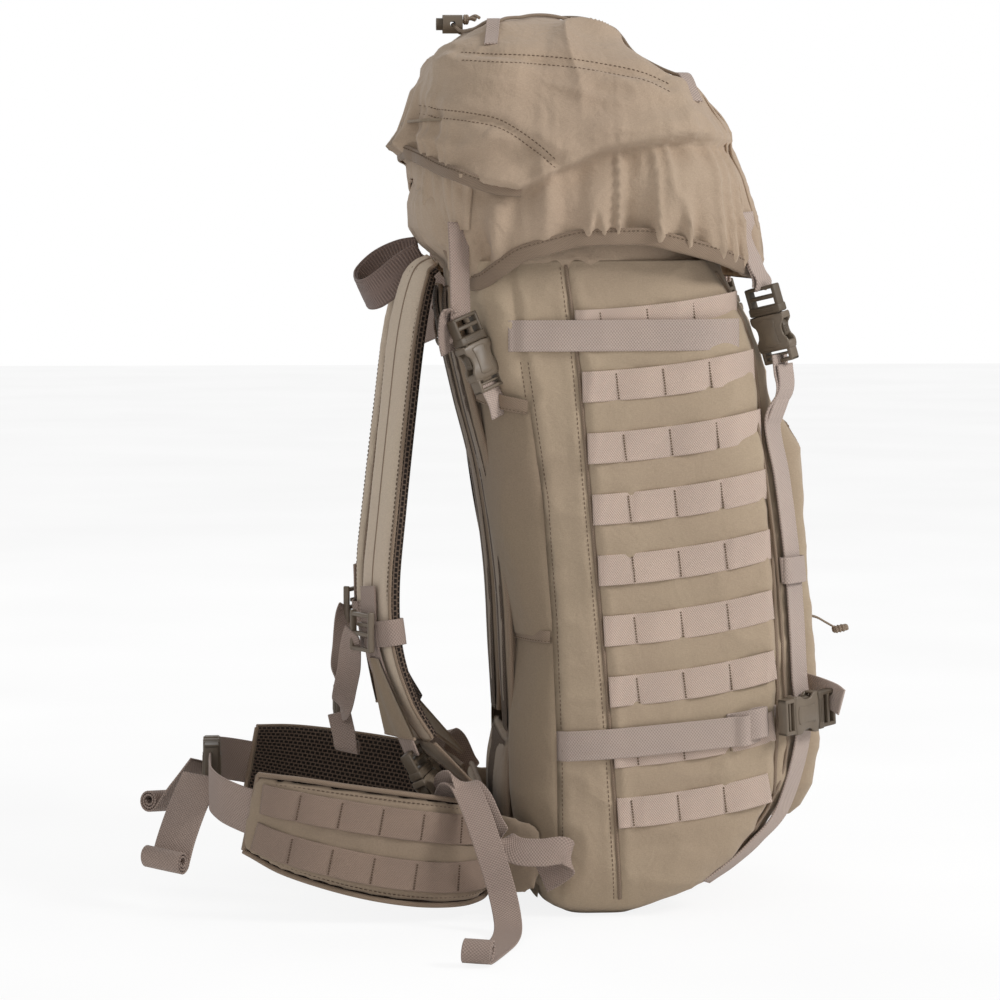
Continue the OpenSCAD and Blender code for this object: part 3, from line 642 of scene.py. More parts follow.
# Seams of the side panel: the place from front to back against height
FRONT_SEAM = [[20, 14], [43, -22], [66, -42], [100, -60], [191, -63], [308, -58], [391, -52], [478, -42],
              [515, -27], [547, -6]]
SIDE_SEAM = [[9, 69], [102, 75], [202, 82], [268, 88], [351, 96], [458, 105], [508, 111], [557, 117]]
REAR_SEAM = [[30, 120], [151, 121], [251, 125], [351, 133], [466, 150], [548, 163]]


BAG_SMOOTH = resample(BAG, 4)


def ring(row, angles, square):
    """A rounded outline from [height, front, back, half width] at the given angles."""
    z, front, back, half = row
    c, s = np.cos(angles), np.sin(angles)
    return np.column_stack([half * spow(c, 2 / square),
                            (front + back) / 2 + (back - front) / 2 * spow(s, 2 / square),
                            np.full(len(angles), z)])


def even_angles(row, square, count):
    """Angles that give points at even distances round an outline, with the seam at the back."""
    angles = np.linspace(math.pi / 2, math.pi * 5 / 2, 4001)
    run = lengths(ring(row, angles, square))
    return np.interp(np.linspace(0, run[-1], count + 1), run, angles)


def at_height(rows, z):
    """The row of an outline's table at a height."""
    return np.concatenate([[z], [np.interp(z, rows[:, 0], rows[:, k]) for k in range(1, rows.shape[1])]])


def side_x(y, z):
    """The bag's half width at a place on its side, before its soft relief."""
    front = np.interp(z, BAG_SMOOTH[:, 0], BAG_SMOOTH[:, 1])
    back = np.interp(z, BAG_SMOOTH[:, 0], BAG_SMOOTH[:, 2])
    half = np.interp(z, BAG_SMOOTH[:, 0], BAG_SMOOTH[:, 3])
    u = np.abs(y - (front + back) / 2) / ((back - front) / 2)
    return half * np.maximum(0.02, 1 - u ** BAG_SQUARE) ** (1 / BAG_SQUARE)


def mirrored_place(p):
    """Places that are the same on both sides, smooth across the middle."""
    return np.stack([np.sqrt(p[..., 0] ** 2 + 900), p[..., 1], p[..., 2]], axis=-1)


def seam_relief(across, along, depth=2.0, seed=5):
    """The dip of a seam, the cloth that rolls up beside it and its puckers."""
    puckers = noise(np.stack([along, across * 0.2, along * 0], axis=-1), (9, 9, 9), seed)
    return (-depth * bump_at(across, 0, 3.2) + 0.45 * depth * bump_at(np.abs(across), 8, 5)
            + 0.35 * depth * puckers * np.exp(-np.abs(across) / 12))


def bag_relief(p):
    """How far the bag's cloth stands out: slack, seams, the pull of the webbing rows and folds."""
    q = mirrored_place(p)
    x, y, z = q[..., 0], q[..., 1], q[..., 2]
    side = np.clip((x - 118) / 25, 0, 1)
    high = np.clip((z - 4) / 30, 0, 1)
    relief = 3.0 * noise(q, (150, 130, 120), 11) + 1.8 * noise(q, (60, 60, 38), 12)
    relief += 1.4 * creases(q, (50, 38, 22), 13)
    for seam, seed in ((FRONT_SEAM, 21), (SIDE_SEAM, 22), (REAR_SEAM, 23)):
        across = y - table(seam, z)
        relief += side * seam_relief(across, z, 2.2, seed)
    inside = np.clip((y - table(FRONT_SEAM, z)) / 8, 0, 1) * np.clip((table(SIDE_SEAM, z) - y) / 8, 0, 1)
    step = (ROW_TOP - (y + 40) * ROW_TILT - z) / ROW_PITCH
    between = np.clip(np.abs((step % 1) - 0.5), 0, 0.5) * 2
    in_rows = np.clip((ROWS - 0.4 - step) * 3, 0, 1) * np.clip((step + 0.6) * 3, 0, 1)
    relief += side * inside * in_rows * (2.4 - 3.8 * between ** 1.5)
    low = np.clip((70 - z) / 60, 0, 1)
    relief += low * 3.0 * creases(q + 7, (34, 34, 26), 15)
    back = np.clip((y - table(REAR_SEAM, z)) / 12, 0, 1)
    relief += side * back * 5.0 * creases(q, (40, 30, 60), 16)
    return relief * high


def grid_normals(points):
    """The outward direction at every point of a ring grid."""
    down = np.gradient(points, axis=0)
    wide = np.concatenate([points[:, -2:-1], points, points[:, 1:2]], axis=1)
    return unit(np.cross((wide[:, 2:] - wide[:, :-2]) / 2, down))


def relieved(points, relief):
    """A ring grid pushed out along its own surface directions, closed exactly at its seam."""
    points = points + grid_normals(points) * relief(points)[..., None]
    points[:, -1] = points[:, 0]
    return points


BAG_COLUMNS = 400
bag_angles = even_angles(at_height(BAG, 300), BAG_SQUARE, BAG_COLUMNS)
bag_heights = np.concatenate([[0, 2, 4.5, 8, 12, 17], np.arange(22, 549, 3.2), [548]])
bag_grid = np.array([ring(at_height(BAG_SMOOTH, z), bag_angles, BAG_SQUARE) for z in bag_heights])
bag_grid = relieved(bag_grid, bag_relief)
BAG_MIDDLE = 84   # the middle of the bottom, from front to back
bottom = np.array([bag_grid[0] * [k, k, 1] + [0, (1 - k) * BAG_MIDDLE, 0.4 * (1 - k)]
                   for k in (0.02, 0.3, 0.6, 0.85, 0.96)])
inner = bag_grid[::-1][:40:3] * [0.975, 1, 1] + [0, 0, -0.5]
body_shape = Shape().grid(np.concatenate([bottom, bag_grid, inner]))
bag_body = make_piece("bag_body", body_shape, "bag", PACK, ["bag_shell"])
bag_surface = surface_of(bag_body)

# ---------------------------------------------------------------- the lid

LID_ROWS = np.array([   # height, front edge, back edge, half width
    [518, -52, 205, 170], [545, -55, 212, 173], [575, -56, 224, 174], [600, -50, 233, 174],
    [640, -36, 238, 172], [660, -25, 238, 170], [690, -2, 235, 162], [698, 12, 232, 157],
    [712, 33, 224, 147], [730, 54, 204, 128], [744, 68, 180, 99], [751, 80, 150, 58],
    [753, 108, 116, 3]], float)
LID_SQUARE = 3.4
LID_EDGE = [[-60, 532], [-35, 535], [4, 549], [60, 563], [115, 562], [168, 549], [209, 524],
            [217, 526], [223, 540], [231, 608], [235, 628], [241, 636]]
REAR_HEM = [[150, 604], [180, 608], [205, 617], [224, 628], [241, 638]]
LID_CREASE = [[-60, 646], [-10, 647], [7, 649], [48, 645], [89, 637], [109, 625], [138, 612], [156, 605],
              [196, 612], [216, 628], [241, 638]]
SEAM_HIGH = [(200, 716), (175, 714), (129, 712), (83, 706), (50, 699), (29, 690)]
SEAM_LOW = [(232, 674), (219, 669), (194, 665), (170, 659), (145, 643), (125, 626)]
LID_TOP = 655


def distance_to(path, y, z):
    """The distance from places on the side to a line through points, all in (y, z)."""
    best = np.full(np.shape(y), 1e9)
    for (ya, za), (yb, zb) in zip(path, path[1:]):
        run = np.array([yb - ya, zb - za], float)
        t = np.clip(((y - ya) * run[0] + (z - za) * run[1]) / (run @ run), 0, 1)
        best = np.minimum(best, np.hypot(y - ya - t * run[0], z - za - t * run[1]))
    return best


def lid_relief(p):
    """How far the lid's cloth stands out: its crease, the gathers above its hem, folds and seams."""
    q = mirrored_place(p)
    x, y, z = q[..., 0], q[..., 1], q[..., 2]
    arc = 170 * np.arctan2(y - 92, x)
    side = np.clip((x - 60) / 60, 0, 1)
    above = z - table(LID_CREASE, y) + 5 * noise(q, (48, 40, 60), 36)
    hem = z - table(LID_EDGE, y)
    strength = side * table([[-60, 0.3], [-20, 0.6], [20, 1], [180, 1], [212, 0.3], [250, 0.1]], y)
    ledge = np.tanh(above / 2.2) * np.exp(-np.abs(above) / 26)
    relief = strength * (8 * ledge + 4 * bump_at(above, 16, 12) + 5 * bump_at(above, -30, 16))
    gathers = creases(np.stack([arc, z, x * 0.1], axis=-1), (13, 110, 90), 31)
    finer = noise(np.stack([arc, z, x * 0.1], axis=-1), (8, 46, 60), 32)
    near_hem = np.exp(-np.maximum(hem, 0) / 36) * np.clip(hem / 14, 0.12, 1)
    relief += near_hem * (15 * gathers + 5.0 * finer)
    under_crease = np.clip(-above / 10, 0, 1) * np.exp(np.minimum(above, 0) / 30)
    relief += strength * under_crease * 6.0 * gathers
    cap = np.clip(above / 12, 0, 1)
    rear = np.clip((y - 120) / 60, 0, 1)
    relief += cap * (4.5 * noise(q, (110, 95, 60), 33) + 5.0 * creases(q, (60, 44, 30), 34))
    relief += cap * rear * np.exp(-np.maximum(above, 0) / 26) * 8.0 * gathers
    folds = creases(np.stack([y + z * 0.5, z - y * 0.35, x * 0.4], axis=-1), (90, 20, 60), 35)
    relief += cap * side * 5.5 * folds * np.exp(-np.maximum(above, 0) / 70)
    for path in (SEAM_HIGH, SEAM_LOW):
        away = distance_to(path, y, z)
        relief += side * (-2.6 * bump_at(away, 0, 3.6) + 1.6 * bump_at(away, 10, 6))
        relief += side * 1.6 * finer * np.exp(-away / 12)
    return relief


LID_COLUMNS = 420
lid_angles = even_angles(at_height(LID_ROWS, 600), LID_SQUARE, LID_COLUMNS)
lid_smooth = resample(LID_ROWS, 4)
crown_rows = resample(LID_ROWS[LID_ROWS[:, 0] >= 640], 3.6)
crown_rows = crown_rows[crown_rows[:, 0] > LID_TOP + 1.5]


def skirt_ring(share):
    """One ring of the lid's skirt, a share of the way up from its edge."""
    base = ring(at_height(LID_ROWS, 600), lid_angles, LID_SQUARE)
    edge = table(LID_EDGE, base[:, 1])
    heights = edge + (LID_TOP - edge) * share
    rows = np.array([at_height(lid_smooth, z) for z in heights])
    c, s = np.cos(lid_angles), np.sin(lid_angles)
    return np.column_stack([rows[:, 3] * spow(c, 2 / LID_SQUARE),
                            (rows[:, 1] + rows[:, 2]) / 2
                            + (rows[:, 2] - rows[:, 1]) / 2 * spow(s, 2 / LID_SQUARE), heights])


lid_grid = np.array([skirt_ring(k) for k in np.linspace(0, 1, 42)]
                    + [ring(row, lid_angles, LID_SQUARE) for row in crown_rows])
lid_grid = relieved(lid_grid, lid_relief)
lid_inner = lid_grid[:30][::-1].copy()
centre_line = np.array([0, 95, 0])
lid_inner = centre_line + (lid_inner - centre_line) * [0.982, 0.982, 1]
lid_shape = Shape().grid(np.concatenate([lid_inner[:-1], lid_inner[-1:] + [0, 0, -0.8], lid_grid]))
lid_body = make_piece("lid_body", lid_shape, "lid", LID, ["lid_shell"])
lid_surface = surface_of(lid_body)


def tape_on_grid(lower, upper, out, lift, thick=1.6, shape=None):
    """A tape between two lines of points, with rolled edges and a raised middle."""
    run = lengths(lower)
    across = float(np.median(np.linalg.norm(upper - lower, axis=1)))
    section = ((0, -0.6), (0, 0.6), (0.12, 1), (0.5, 1.3), (0.88, 1), (1, 0.6), (1, -0.6))
    points = np.stack([lower + (upper - lower) * share + out * (lift + thick * rise)
                       for share, rise in section], axis=1)
    uvs = np.stack([np.column_stack([run, np.full(len(run), share * across)])
                    for share, _ in section], axis=1)
    return (shape or Shape()).grid(points, uvs)


lid_normals = grid_normals(lid_grid)


def lid_line(columns, heights):
    """Points on the lid at given heights, one for each column, and the outward direction there."""
    places = []
    outs = []
    for column, height in zip(columns, heights):
        row = int(np.clip(np.searchsorted(lid_grid[:, column, 2], height), 1, len(lid_grid) - 1))
        below, above = lid_grid[row - 1, column], lid_grid[row, column]
        share = np.clip((height - below[2]) / max(above[2] - below[2], 1e-6), 0, 1)
        places.append(below + (above - below) * share)
        outs.append(lid_normals[row, column])
    return np.array(places), np.array(outs)


def smooth_line(points, reach=4):
    """The same line with small wobbles averaged away."""
    kernel = np.ones(2 * reach + 1) / (2 * reach + 1)
    wide = np.vstack([points[:1].repeat(reach, 0), points, points[-1:].repeat(reach, 0)])
    return np.column_stack([np.convolve(wide[:, k], kernel, "valid") for k in range(3)])


# Binding tape round the lid's edge: it starts and ends beside the rear straps
edge_points = lid_grid[0]
edge_out = unit((smooth_line(edge_points, 6) - [0, 95, 0]) * [1, 1, 0])
edge_columns = [k for k in range(LID_COLUMNS) if edge_points[k, 2] < 600]
tape_rise = 12
hem_shape = Shape()
hem_stitches = Shape()
hem_low = smooth_line(edge_points[edge_columns], 3)
hem_out = edge_out[edge_columns]
along_hem = unit(np.gradient(hem_low, axis=0))
hem_up = unit(np.cross(along_hem, hem_out))
hem_up *= np.sign(hem_up[:, 2:3])
tape_on_grid(hem_low - hem_up * 2, hem_low + hem_up * tape_rise, hem_out, 2.2, 1.5, hem_shape)
dashes(hem_low + hem_up * (tape_rise - 2.5) + hem_out * 4.0, hem_out, *HEM_STITCH, hem_stitches)
make_piece("lid_hem_tape", hem_shape, "lid", BINDING, ["lid_hem"])

# The cap's own hem over the back of the skirt
cap_columns = [k for k in range(LID_COLUMNS) if lid_grid[20, k, 1] > 150]
split = next(i for i in range(len(cap_columns) - 1) if cap_columns[i + 1] - cap_columns[i] > 1)
cap_columns = cap_columns[split + 1:-1] + cap_columns[:split + 1]
cap_heights = []
for column in cap_columns:
    y_here = lid_grid[20, column, 1]
    for _ in range(4):
        height = float(table(REAR_HEM, y_here))
        y_here = lid_line([column], [height])[0][0][1]
    cap_heights.append(height)
cap_low, cap_out = lid_line(cap_columns, np.array(cap_heights))
cap_out = smooth_line(unit(cap_out * [1, 1, 0.2]), 6)
cap_low = smooth_line(cap_low, 5) + cap_out * 3.5
cap_shape = tape_on_grid(cap_low - [0, 0, 3], cap_low + [0, 0, 8.5], cap_out, 1.5, 1.5)
dashes(cap_low + [0, 0, 6.5] + cap_out * 3.6, cap_out, *HEM_STITCH, hem_stitches)
make_piece("lid_cap_hem", cap_shape, "lid", BINDING)

# Twin rows of stitching on the cap's side seams
for path in (SEAM_HIGH, SEAM_LOW):
    for apart in (-3.5, 3.5):
        line = np.array([(BESIDE, y, z + apart) for y, z in path], float)
        laid = drape(resample(line, 3), lid_surface, (1, 0, 0), 0.3)
        row = Shape()
        dashes(laid, (-1, 0, 0.4), 2.4, 1.5, 0.7, 0.45, row)
        hem_stitches.join(row.both_sides())
make_piece("lid_stitches", hem_stitches, "lid", STITCH)

# ---------------------------------------------------------------- the bag's side


def on_side(points, lift=0.0, surface=None):
    """Lays points of the left side, given roughly, on the bag's side."""
    return drape(points, surface or bag_surface, (1, 0, 0), lift)


def side_line(rows, low, high, lift, step=4):
    """A line on the left side that follows a table of place against height."""
    heights = np.arange(low, high, step)
    return on_side([(BESIDE, table(rows, z), z) for z in heights], lift)


def row_height(index, y):
    """The height of a webbing row's middle at a place from front to back."""
    return ROW_TOP - index * ROW_PITCH - (y + 40) * ROW_TILT + 2.2 * ((y - 10) / 60) ** 2


ladder = Shape()
bag_stitches = Shape()
CELL = 38.5   # the distance between two bar tacks of a row
for index in range(ROWS):
    middle = ROW_TOP - index * ROW_PITCH - 8
    y0 = float(table(FRONT_SEAM, middle)) + 3
    y1 = float(table(SIDE_SEAM, middle)) - 2
    places = np.linspace(y0, y1, 60)
    cells = (places - y0) / CELL
    swell = 1.5 * np.abs(np.sin(np.pi * cells)) ** 0.7
    path = np.column_stack([np.full(60, float(BESIDE)), places, row_height(index, places)])
    laid = on_side(path, 1.6)
    laid[:, 0] = np.minimum(laid[:, 0], smooth_line(laid, 4)[:, 0])
    laid[:, 0] -= swell
    webbing(laid, (0, ROW_TILT, -1), ROW_WIDTH, 1.5, 2.2, ladder)
    for edge in range(1, int((y1 - y0) / CELL) + 1):
        y = y0 + edge * CELL
        if y > y1 - 6:
            continue
        x = float(np.interp(y, laid[:, 1], laid[:, 0])) - 0.8
        z = float(row_height(index, y))
        half = ROW_WIDTH / 2 - 1.2
        slant = [(x, y - 0.12 * half, z - half), (x, y + 0.12 * half, z + half)]
        dashes(slant, (-1, 0, 0), *BAR_TACK, bag_stitches)
make_piece("side_ladder_rows", ladder.both_sides(), "bag", LADDER, ["side_ladders"])
rows_surface = surface_of(bag_body, bpy.data.objects["side_ladder_rows"])

# Piping on the side panel's seams, and rows of stitching beside them
piping = Shape()
for rows, low, high in ((FRONT_SEAM, 46, 540), (SIDE_SEAM, 16, 548)):
    tube(side_line(rows, low, high, 0.6), 1.7, 8, 3, piping)
for rows, low, high, away in ((SIDE_SEAM, 16, 545, 5), (REAR_SEAM, 30, 470, -3), (REAR_SEAM, 30, 470, 3)):
    line = side_line([[z, y + away] for z, y in rows], low, high, 0.2)
    dashes(line, (-1, 0, 0), *SEAM_STITCH, bag_stitches)
make_piece("side_piping", piping.both_sides(), "bag", BINDING)

# ---------------------------------------------------------------- pole pockets and the rear strip


def bag_place(angle, z, lift=0.0):
    """A place on the bag's outline at an angle in degrees, pushed out level by lift."""
    row = at_height(BAG_SMOOTH, z)
    near = np.radians(np.array([angle - 1.0, angle, angle + 1.0]))
    points = ring(row, near, BAG_SQUARE)
    way = points[2] - points[0]
    out = unit(np.array([way[1], -way[0], 0.0]))
    return points[1] + out * lift


def angle_at(y, z):
    """The angle of the place on the left side that is at y."""
    angles = np.linspace(100, 180, 161)
    ys = ring(at_height(BAG_SMOOTH, z), np.radians(angles), BAG_SQUARE)[:, 1]
    return float(np.interp(-y, -ys, angles))


def pocket_panel(low, high, rows, bulge, rear_angle, push, seed):
    """A sewn panel round the bag's rear corner, standing off in the middle."""
    heights = np.linspace(low, high, rows)
    shares = np.linspace(0, 1, 26)
    points = []
    for z in heights:
        start = angle_at(float(table(REAR_SEAM, z)), z)
        up = (z - low) / (high - low)
        line = []
        for share in shares:
            angle = start + (rear_angle - start) * share
            fullness = 0.35 + 0.65 * math.sin(math.pi * min(up * 1.1, 1))
            lift = 2.4 + bulge * math.sin(math.pi * share) ** 0.7 * fullness
            back = push * share ** 2.2 * math.sin(math.pi * (0.12 + 0.76 * up))
            line.append(bag_place(angle, z, lift) + [0, back, 0])
        points.append(line)
    points = np.array(points)
    top = np.exp(-(high - points[..., 2]) / 16)
    upright = np.stack([points[..., 1], points[..., 2] * 0.25, points[..., 0]], axis=-1)
    gather = creases(upright, (9, 9, 40), seed)
    fold = 3.6 * creases(points, (60, 46, 70), seed + 1) + 2.6 * noise(points, (90, 60, 80), seed + 2)
    amount = (1.5 * gather * top + fold * np.sin(np.pi * shares)[None, :] ** 0.5)
    out = np.stack([-np.ones(points.shape[:2]), 0.6 * shares[None, :] * np.ones((rows, 1)),
                    np.zeros(points.shape[:2])], axis=-1)
    points += unit(out) * amount[..., None]
    return points


def hem_band(points, wide, lift, shape):
    """A tape along the top row of a panel."""
    line = smooth_line(points[-1], 1)
    below = line - [0, 0, wide]
    out = unit(np.cross(np.gradient(line, axis=0), [0, 0, 1]))
    if out[:, 0].mean() > 0:
        out = -out
    tape_on_grid(below, line + [0, 0, 1], out, lift, 1.3, shape)
    return out


pockets = Shape()
pocket_tape = Shape()
main = pocket_panel(236, 434, 70, 9, 108, 18, 51)
main[..., 2] += 10 * np.linspace(-0.2, 1, 26)[None, :] * ((main[..., 2] - 236) / 198).clip(0, 1)
lower_panel = pocket_panel(50, 240, 60, 8, 112, 13, 57)
pockets.grid(main).grid(lower_panel)
for panel, wide in ((main, 11), (lower_panel, 9)):
    out = hem_band(panel, wide, 1.6, pocket_tape)
    line = smooth_line(panel[-1], 1) - [0, 0, wide - 1.5] + out * 3.2
    dashes(line, out, 2.0, 1.6, 0.7, 0.4, bag_stitches)
make_piece("pole_pockets", pockets.both_sides(), "bag", PACK_PAINTED_SHADE, ["wand_pockets"])
make_piece("pole_pocket_hems", pocket_tape.both_sides(), "bag", BINDING)

# ---------------------------------------------------------------- collar under the lid

COLLAR = np.array([   # height, front edge, back edge, half width
    [541, -22, 207, 153], [549, -18, 212, 154], [562, -10, 228, 153], [575, -3, 236, 151],
    [595, 15, 238, 147], [615, 38, 232, 136], [632, 64, 221, 116], [645, 90, 204, 88],
    [650, 108, 190, 62], [649, 112, 186, 56], [640, 116, 182, 52]], float)


def collar_relief(p):
    """The collar's gathers, tighter towards its drawcord."""
    arc = np.arctan2(p[..., 1] - 110, p[..., 0]) * 140
    unrolled = np.stack([arc, p[..., 2], p[..., 2] * 0], axis=-1)
    fold = creases(unrolled, (26, 60, 9), 61)
    fine = creases(unrolled, (12, 40, 9), 62)
    tight = np.clip((p[..., 2] - 560) / 80, 0, 1)
    return 1.6 * fold + 2.2 * fine * tight + 1.5 * noise(p, (50, 50, 30), 63)


COLLAR_SQUARE = 3.6
collar_run = np.linspace(0, len(COLLAR) - 1, 60)
collar_rows = between_points(collar_run, np.arange(len(COLLAR)), COLLAR)
collar_angles = even_angles(COLLAR[3], COLLAR_SQUARE, 260)
collar_grid = np.array([ring(row, collar_angles, COLLAR_SQUARE) for row in collar_rows])
collar_grid = relieved(collar_grid, collar_relief)
make_piece("collar", Shape().grid(collar_grid), "bag", LID, ["bag_collar"])
turns = np.linspace(0, 2 * math.pi, 60)
drawcord = tube(np.column_stack([62 * np.cos(turns), 149 + 41 * np.sin(turns), np.full(60, 653.4)]), 1.5)
make_piece("collar_cord", drawcord, "bag", CORD, ["collar_drawcord"])

# ---------------------------------------------------------------- buckles


def turned(degrees, axis):
    """A 4 by 4 matrix that turns a shape about an axis."""
    angle = math.radians(degrees)
    c, s = math.cos(angle), math.sin(angle)
    matrix = np.eye(4)
    a, b = {"X": (1, 2), "Y": (2, 0), "Z": (0, 1)}[axis]
    matrix[a, a] = matrix[b, b] = c
    matrix[a, b] = -s
    matrix[b, a] = s
    return matrix


def placed(at, *turns):
    """A matrix that turns a shape and then moves it; turns are (degrees, axis), first one outermost."""
    matrix = np.eye(4)
    matrix[:3, 3] = at
    for degrees, axis in turns:
        matrix = matrix @ turned(degrees, axis)
    return matrix


# Where each buckle on the left side or the middle is, and how it is turned
FRONT_AT = placed((-135, -56, 503), (-16.09, "X"), (45, "Z"))
REAR_AT = placed((-150, 193, 480), (-22, "X"), (-50, "Z"))
COMPRESSION_AT = placed((-145, -94, 172), (42, "Z"), (86, "X"), (90, "Z"))
ADJUSTER_AT = placed((-122, 232, 117), (-28, "X"), (-25, "Z"))
BELT_AT = placed((8, 410, 104), (-90, "Y"))
STERNUM_AT = placed((6, 298, 160), (-90, "Y"))


def both_ways(points):
    """An outline from its +X half, given from the mouth down."""
    return points + [(-x, z) for x, z in points[::-1]]


def socket_shape(w, t):
    """The socket of a side-release buckle: two curved plates, open at the sides for the latches."""
    shape = Shape()
    h = w / 2
    waist = h * 0.74
    shell = both_ways([(h, 0), (h, -5), (h - 0.8, -7), (waist, -10.5), (waist, -18), (h - 1.2, -22),
                       (h - 0.6, -25), (h - 1.4, -30)])
    shell = smooth_outline(shell, 1)
    for low, high in ((t / 2 - 2.3, t / 2), (-t / 2, 2.3 - t / 2)):
        plate(shell, low, high, 0.9, shape)
    rib = smooth_outline(both_ways([(h * 0.52, -3), (h * 0.4, -9), (h * 0.4, -20), (h * 0.52, -27)]), 2)
    plate(rib, -t / 2 - 0.7, t / 2 + 0.7, 0.6, shape)
    for side in (-1, 1):
        x0, x1 = sorted((side * h, side * (h - 2)))
        block(x0, x1, -t / 2 + 0.6, t / 2 - 0.6, -5.5, 0, 0.6, 0.8, shape)
        x0, x1 = sorted((side * (h - 2), side * (h - 5.4)))
        block(x0, x1, -t / 2 + 1, t / 2 - 1, -41, -27, 0.9, 1.2, shape)
    block(-h + 1, h - 1, -t / 2 + 0.8, t / 2 - 0.8, -31, -24, 0.9, 1.6, shape)
    block(-h + 2, h - 2, -t / 2 + 1.2, t / 2 - 1.2, -41, -38, 0.9, 1.2, shape)
    block(-h + 3, h - 3, -t / 2 + 2.4, t / 2 - 2.4, -35.4, -33.4, 0.6, 0.6, shape)
    return shape


def plug_shape(w, t):
    """The plug: a grooved base, bars for the webbing, and the middle tongue."""
    shape = Shape()
    h = w / 2
    block(-h + 1, h - 1, -t / 2 + 0.5, t / 2 - 0.5, 0.4, 7.6, 1.1, 1.6, shape)
    for side in (-1, 1):
        x0, x1 = sorted((side * (h - 1.6), side * (h - 5)))
        block(x0, x1, -t / 2 + 1.4, t / 2 - 1.4, 5, 24, 0.9, 1.2, shape)
    block(-h + 2, h - 2, -t / 2 + 1.6, t / 2 - 1.6, 13, 16.4, 0.8, 1, shape)
    block(-h + 2, h - 2, -t / 2 + 1.4, t / 2 - 1.4, 21, 24, 0.9, 1.2, shape)
    block(-2.5, 2.5, -2.2, 2.2, -20, 2, 0.8, 1.2, shape)
    for z in (2.2, 4.2, 6.2):
        block(-h * 0.6, h * 0.6, -t / 2 + 0.1, t / 2 - 0.1, z - 0.5, z + 0.5, 0.3, 0.4, shape)
    return shape


def arm_shape(w, t):
    """One latch arm on the +X side, with a grooved thumb pad."""
    h = w / 2
    outline = smooth_outline([(h - 10, 3), (h - 5.6, 3), (h - 5, -5), (h - 3.6, -8.5), (h - 2.7, -11),
                              (h - 2.7, -17), (h - 4.6, -20.4), (h - 7.8, -20.4), (h - 8.4, -10)], 2)
    shape = plate(outline, -(t - 5.4) / 2, (t - 5.4) / 2, 0.7)
    for z in (-12, -14, -16):
        block(h - 3.4, h - 2.1, -(t - 7.4) / 2, (t - 7.4) / 2, z - 0.45, z + 0.45, 0.25, 0.3, shape)
    return shape


def buckle_parts(matrix, w, t):
    """Socket, plug and both arms of a buckle, in place."""
    arm = arm_shape(w, t)
    return (socket_shape(w, t).moved(matrix), plug_shape(w, t).moved(matrix),
            arm.moved(matrix), arm.mirrored().moved(matrix))


def whole_buckle(name, matrix, w, t, body, replaced):
    """A mirrored pair of buckles that stay closed."""
    socket, plug, arm, other = buckle_parts(matrix, w, t)
    make_piece(name + "_shells", socket.both_sides(), body, BUCKLE, replaced[:1])
    make_piece(name + "_plugs", plug.join(arm).join(other).both_sides(), body, BUCKLE_DARK,
               replaced[1:])


socket, plug, inner_arm, outer_arm = buckle_parts(FRONT_AT, 34, 12)
left_arms = {"inner": inner_arm, "outer": outer_arm}
for side, name in ((0, "left"), (1, "right")):
    for which, arm in left_arms.items():
        arm = arm.mirrored() if side else arm
        make_piece(f"front_arm_{name}_{which}", arm, f"latch_{name}_{which}", BUCKLE_DARK,
                   [f"front_latch_{name}_{which}"])
make_piece("front_sockets", socket.both_sides(), "bag", BUCKLE, ["front_buckle_sockets"])
make_piece("front_plugs", plug.both_sides(), "lid", BUCKLE_DARK, ["front_buckle_plugs"])
whole_buckle("rear_buckle", REAR_AT, 32, 12, "lid", ["rear_buckles"])
whole_buckle("compression_buckle", COMPRESSION_AT, 34, 12, "bag",
             ["compression_buckle_sockets", "compression_buckle_plugs"])
whole_buckle("adjuster_buckle", ADJUSTER_AT, 32, 12, "harness", ["adjuster_buckles"])
for name, matrix, w, t, bodies in (
        ("sternum", STERNUM_AT, 32, 11, ("sternum", "sternum", "sternum_latch_top", "sternum_latch_bottom")),
        ("belt", BELT_AT, 54, 15, ("belt_right", "belt_left", "belt_latch_top", "belt_latch_bottom"))):
    socket, plug, upper, lower = buckle_parts(matrix, w, t)
    make_piece(name + "_socket", socket, bodies[0], BUCKLE, [name + "_buckle_socket"])
    make_piece(name + "_plug", plug, bodies[1], BUCKLE_DARK, [name + "_buckle_plug"])
    make_piece(name + "_arm_upper", upper, bodies[2], BUCKLE_DARK, [name + "_latch_upper"])
    make_piece(name + "_arm_lower", lower, bodies[3], BUCKLE_DARK, [name + "_latch_lower"])

# ---------------------------------------------------------------- straps on the bag

CORNER_TURN = math.radians(230)
CORNER_OUT = np.array([-0.6, -0.8, 0])


def corner_at(z, lift):
    """A place off the bag's front corner at a height."""
    row = at_height(BAG_SMOOTH, z)
    return ring(row, np.array([CORNER_TURN]), BAG_SQUARE)[0] + CORNER_OUT * lift


straps = Shape()
side_path = [(BESIDE, y, 486 + (161 - y) * 0.006) for y in np.linspace(163, -34, 40)]
laid = on_side(side_path, 2.6, rows_surface)
laid = smooth_line(laid, 4)
laid[:2] = on_side(side_path[:2], 0.2)
webbing(laid, (0, 0, 1), 26, 2, 3, straps)
side_path = [(BESIDE, y, 144 + (125 - y) * 0.095) for y in np.linspace(125, -30, 36)]
laid = smooth_line(on_side(side_path, 2.6, rows_surface), 4)
laid[:2] = on_side(side_path[:2], 0.2)
end = laid[-1]
to_buckle = [end + [-2, -10, 1], (-154, -56, 164), (-148, -70, 167), (-147, -76, 168)]
webbing(np.vstack([laid, to_buckle]), (0, 0, 1), 25, 2, 3, straps)
fold = [(-166, -20, 160), (-170, -30, 162), (-172, -44, 165), (-166, -52, 166), (-163, -44, 165),
        (-164, -30, 162), (-167, -20, 160)]
webbing(fold, (0, 0.05, 1), 25, 1.8, 2, straps)
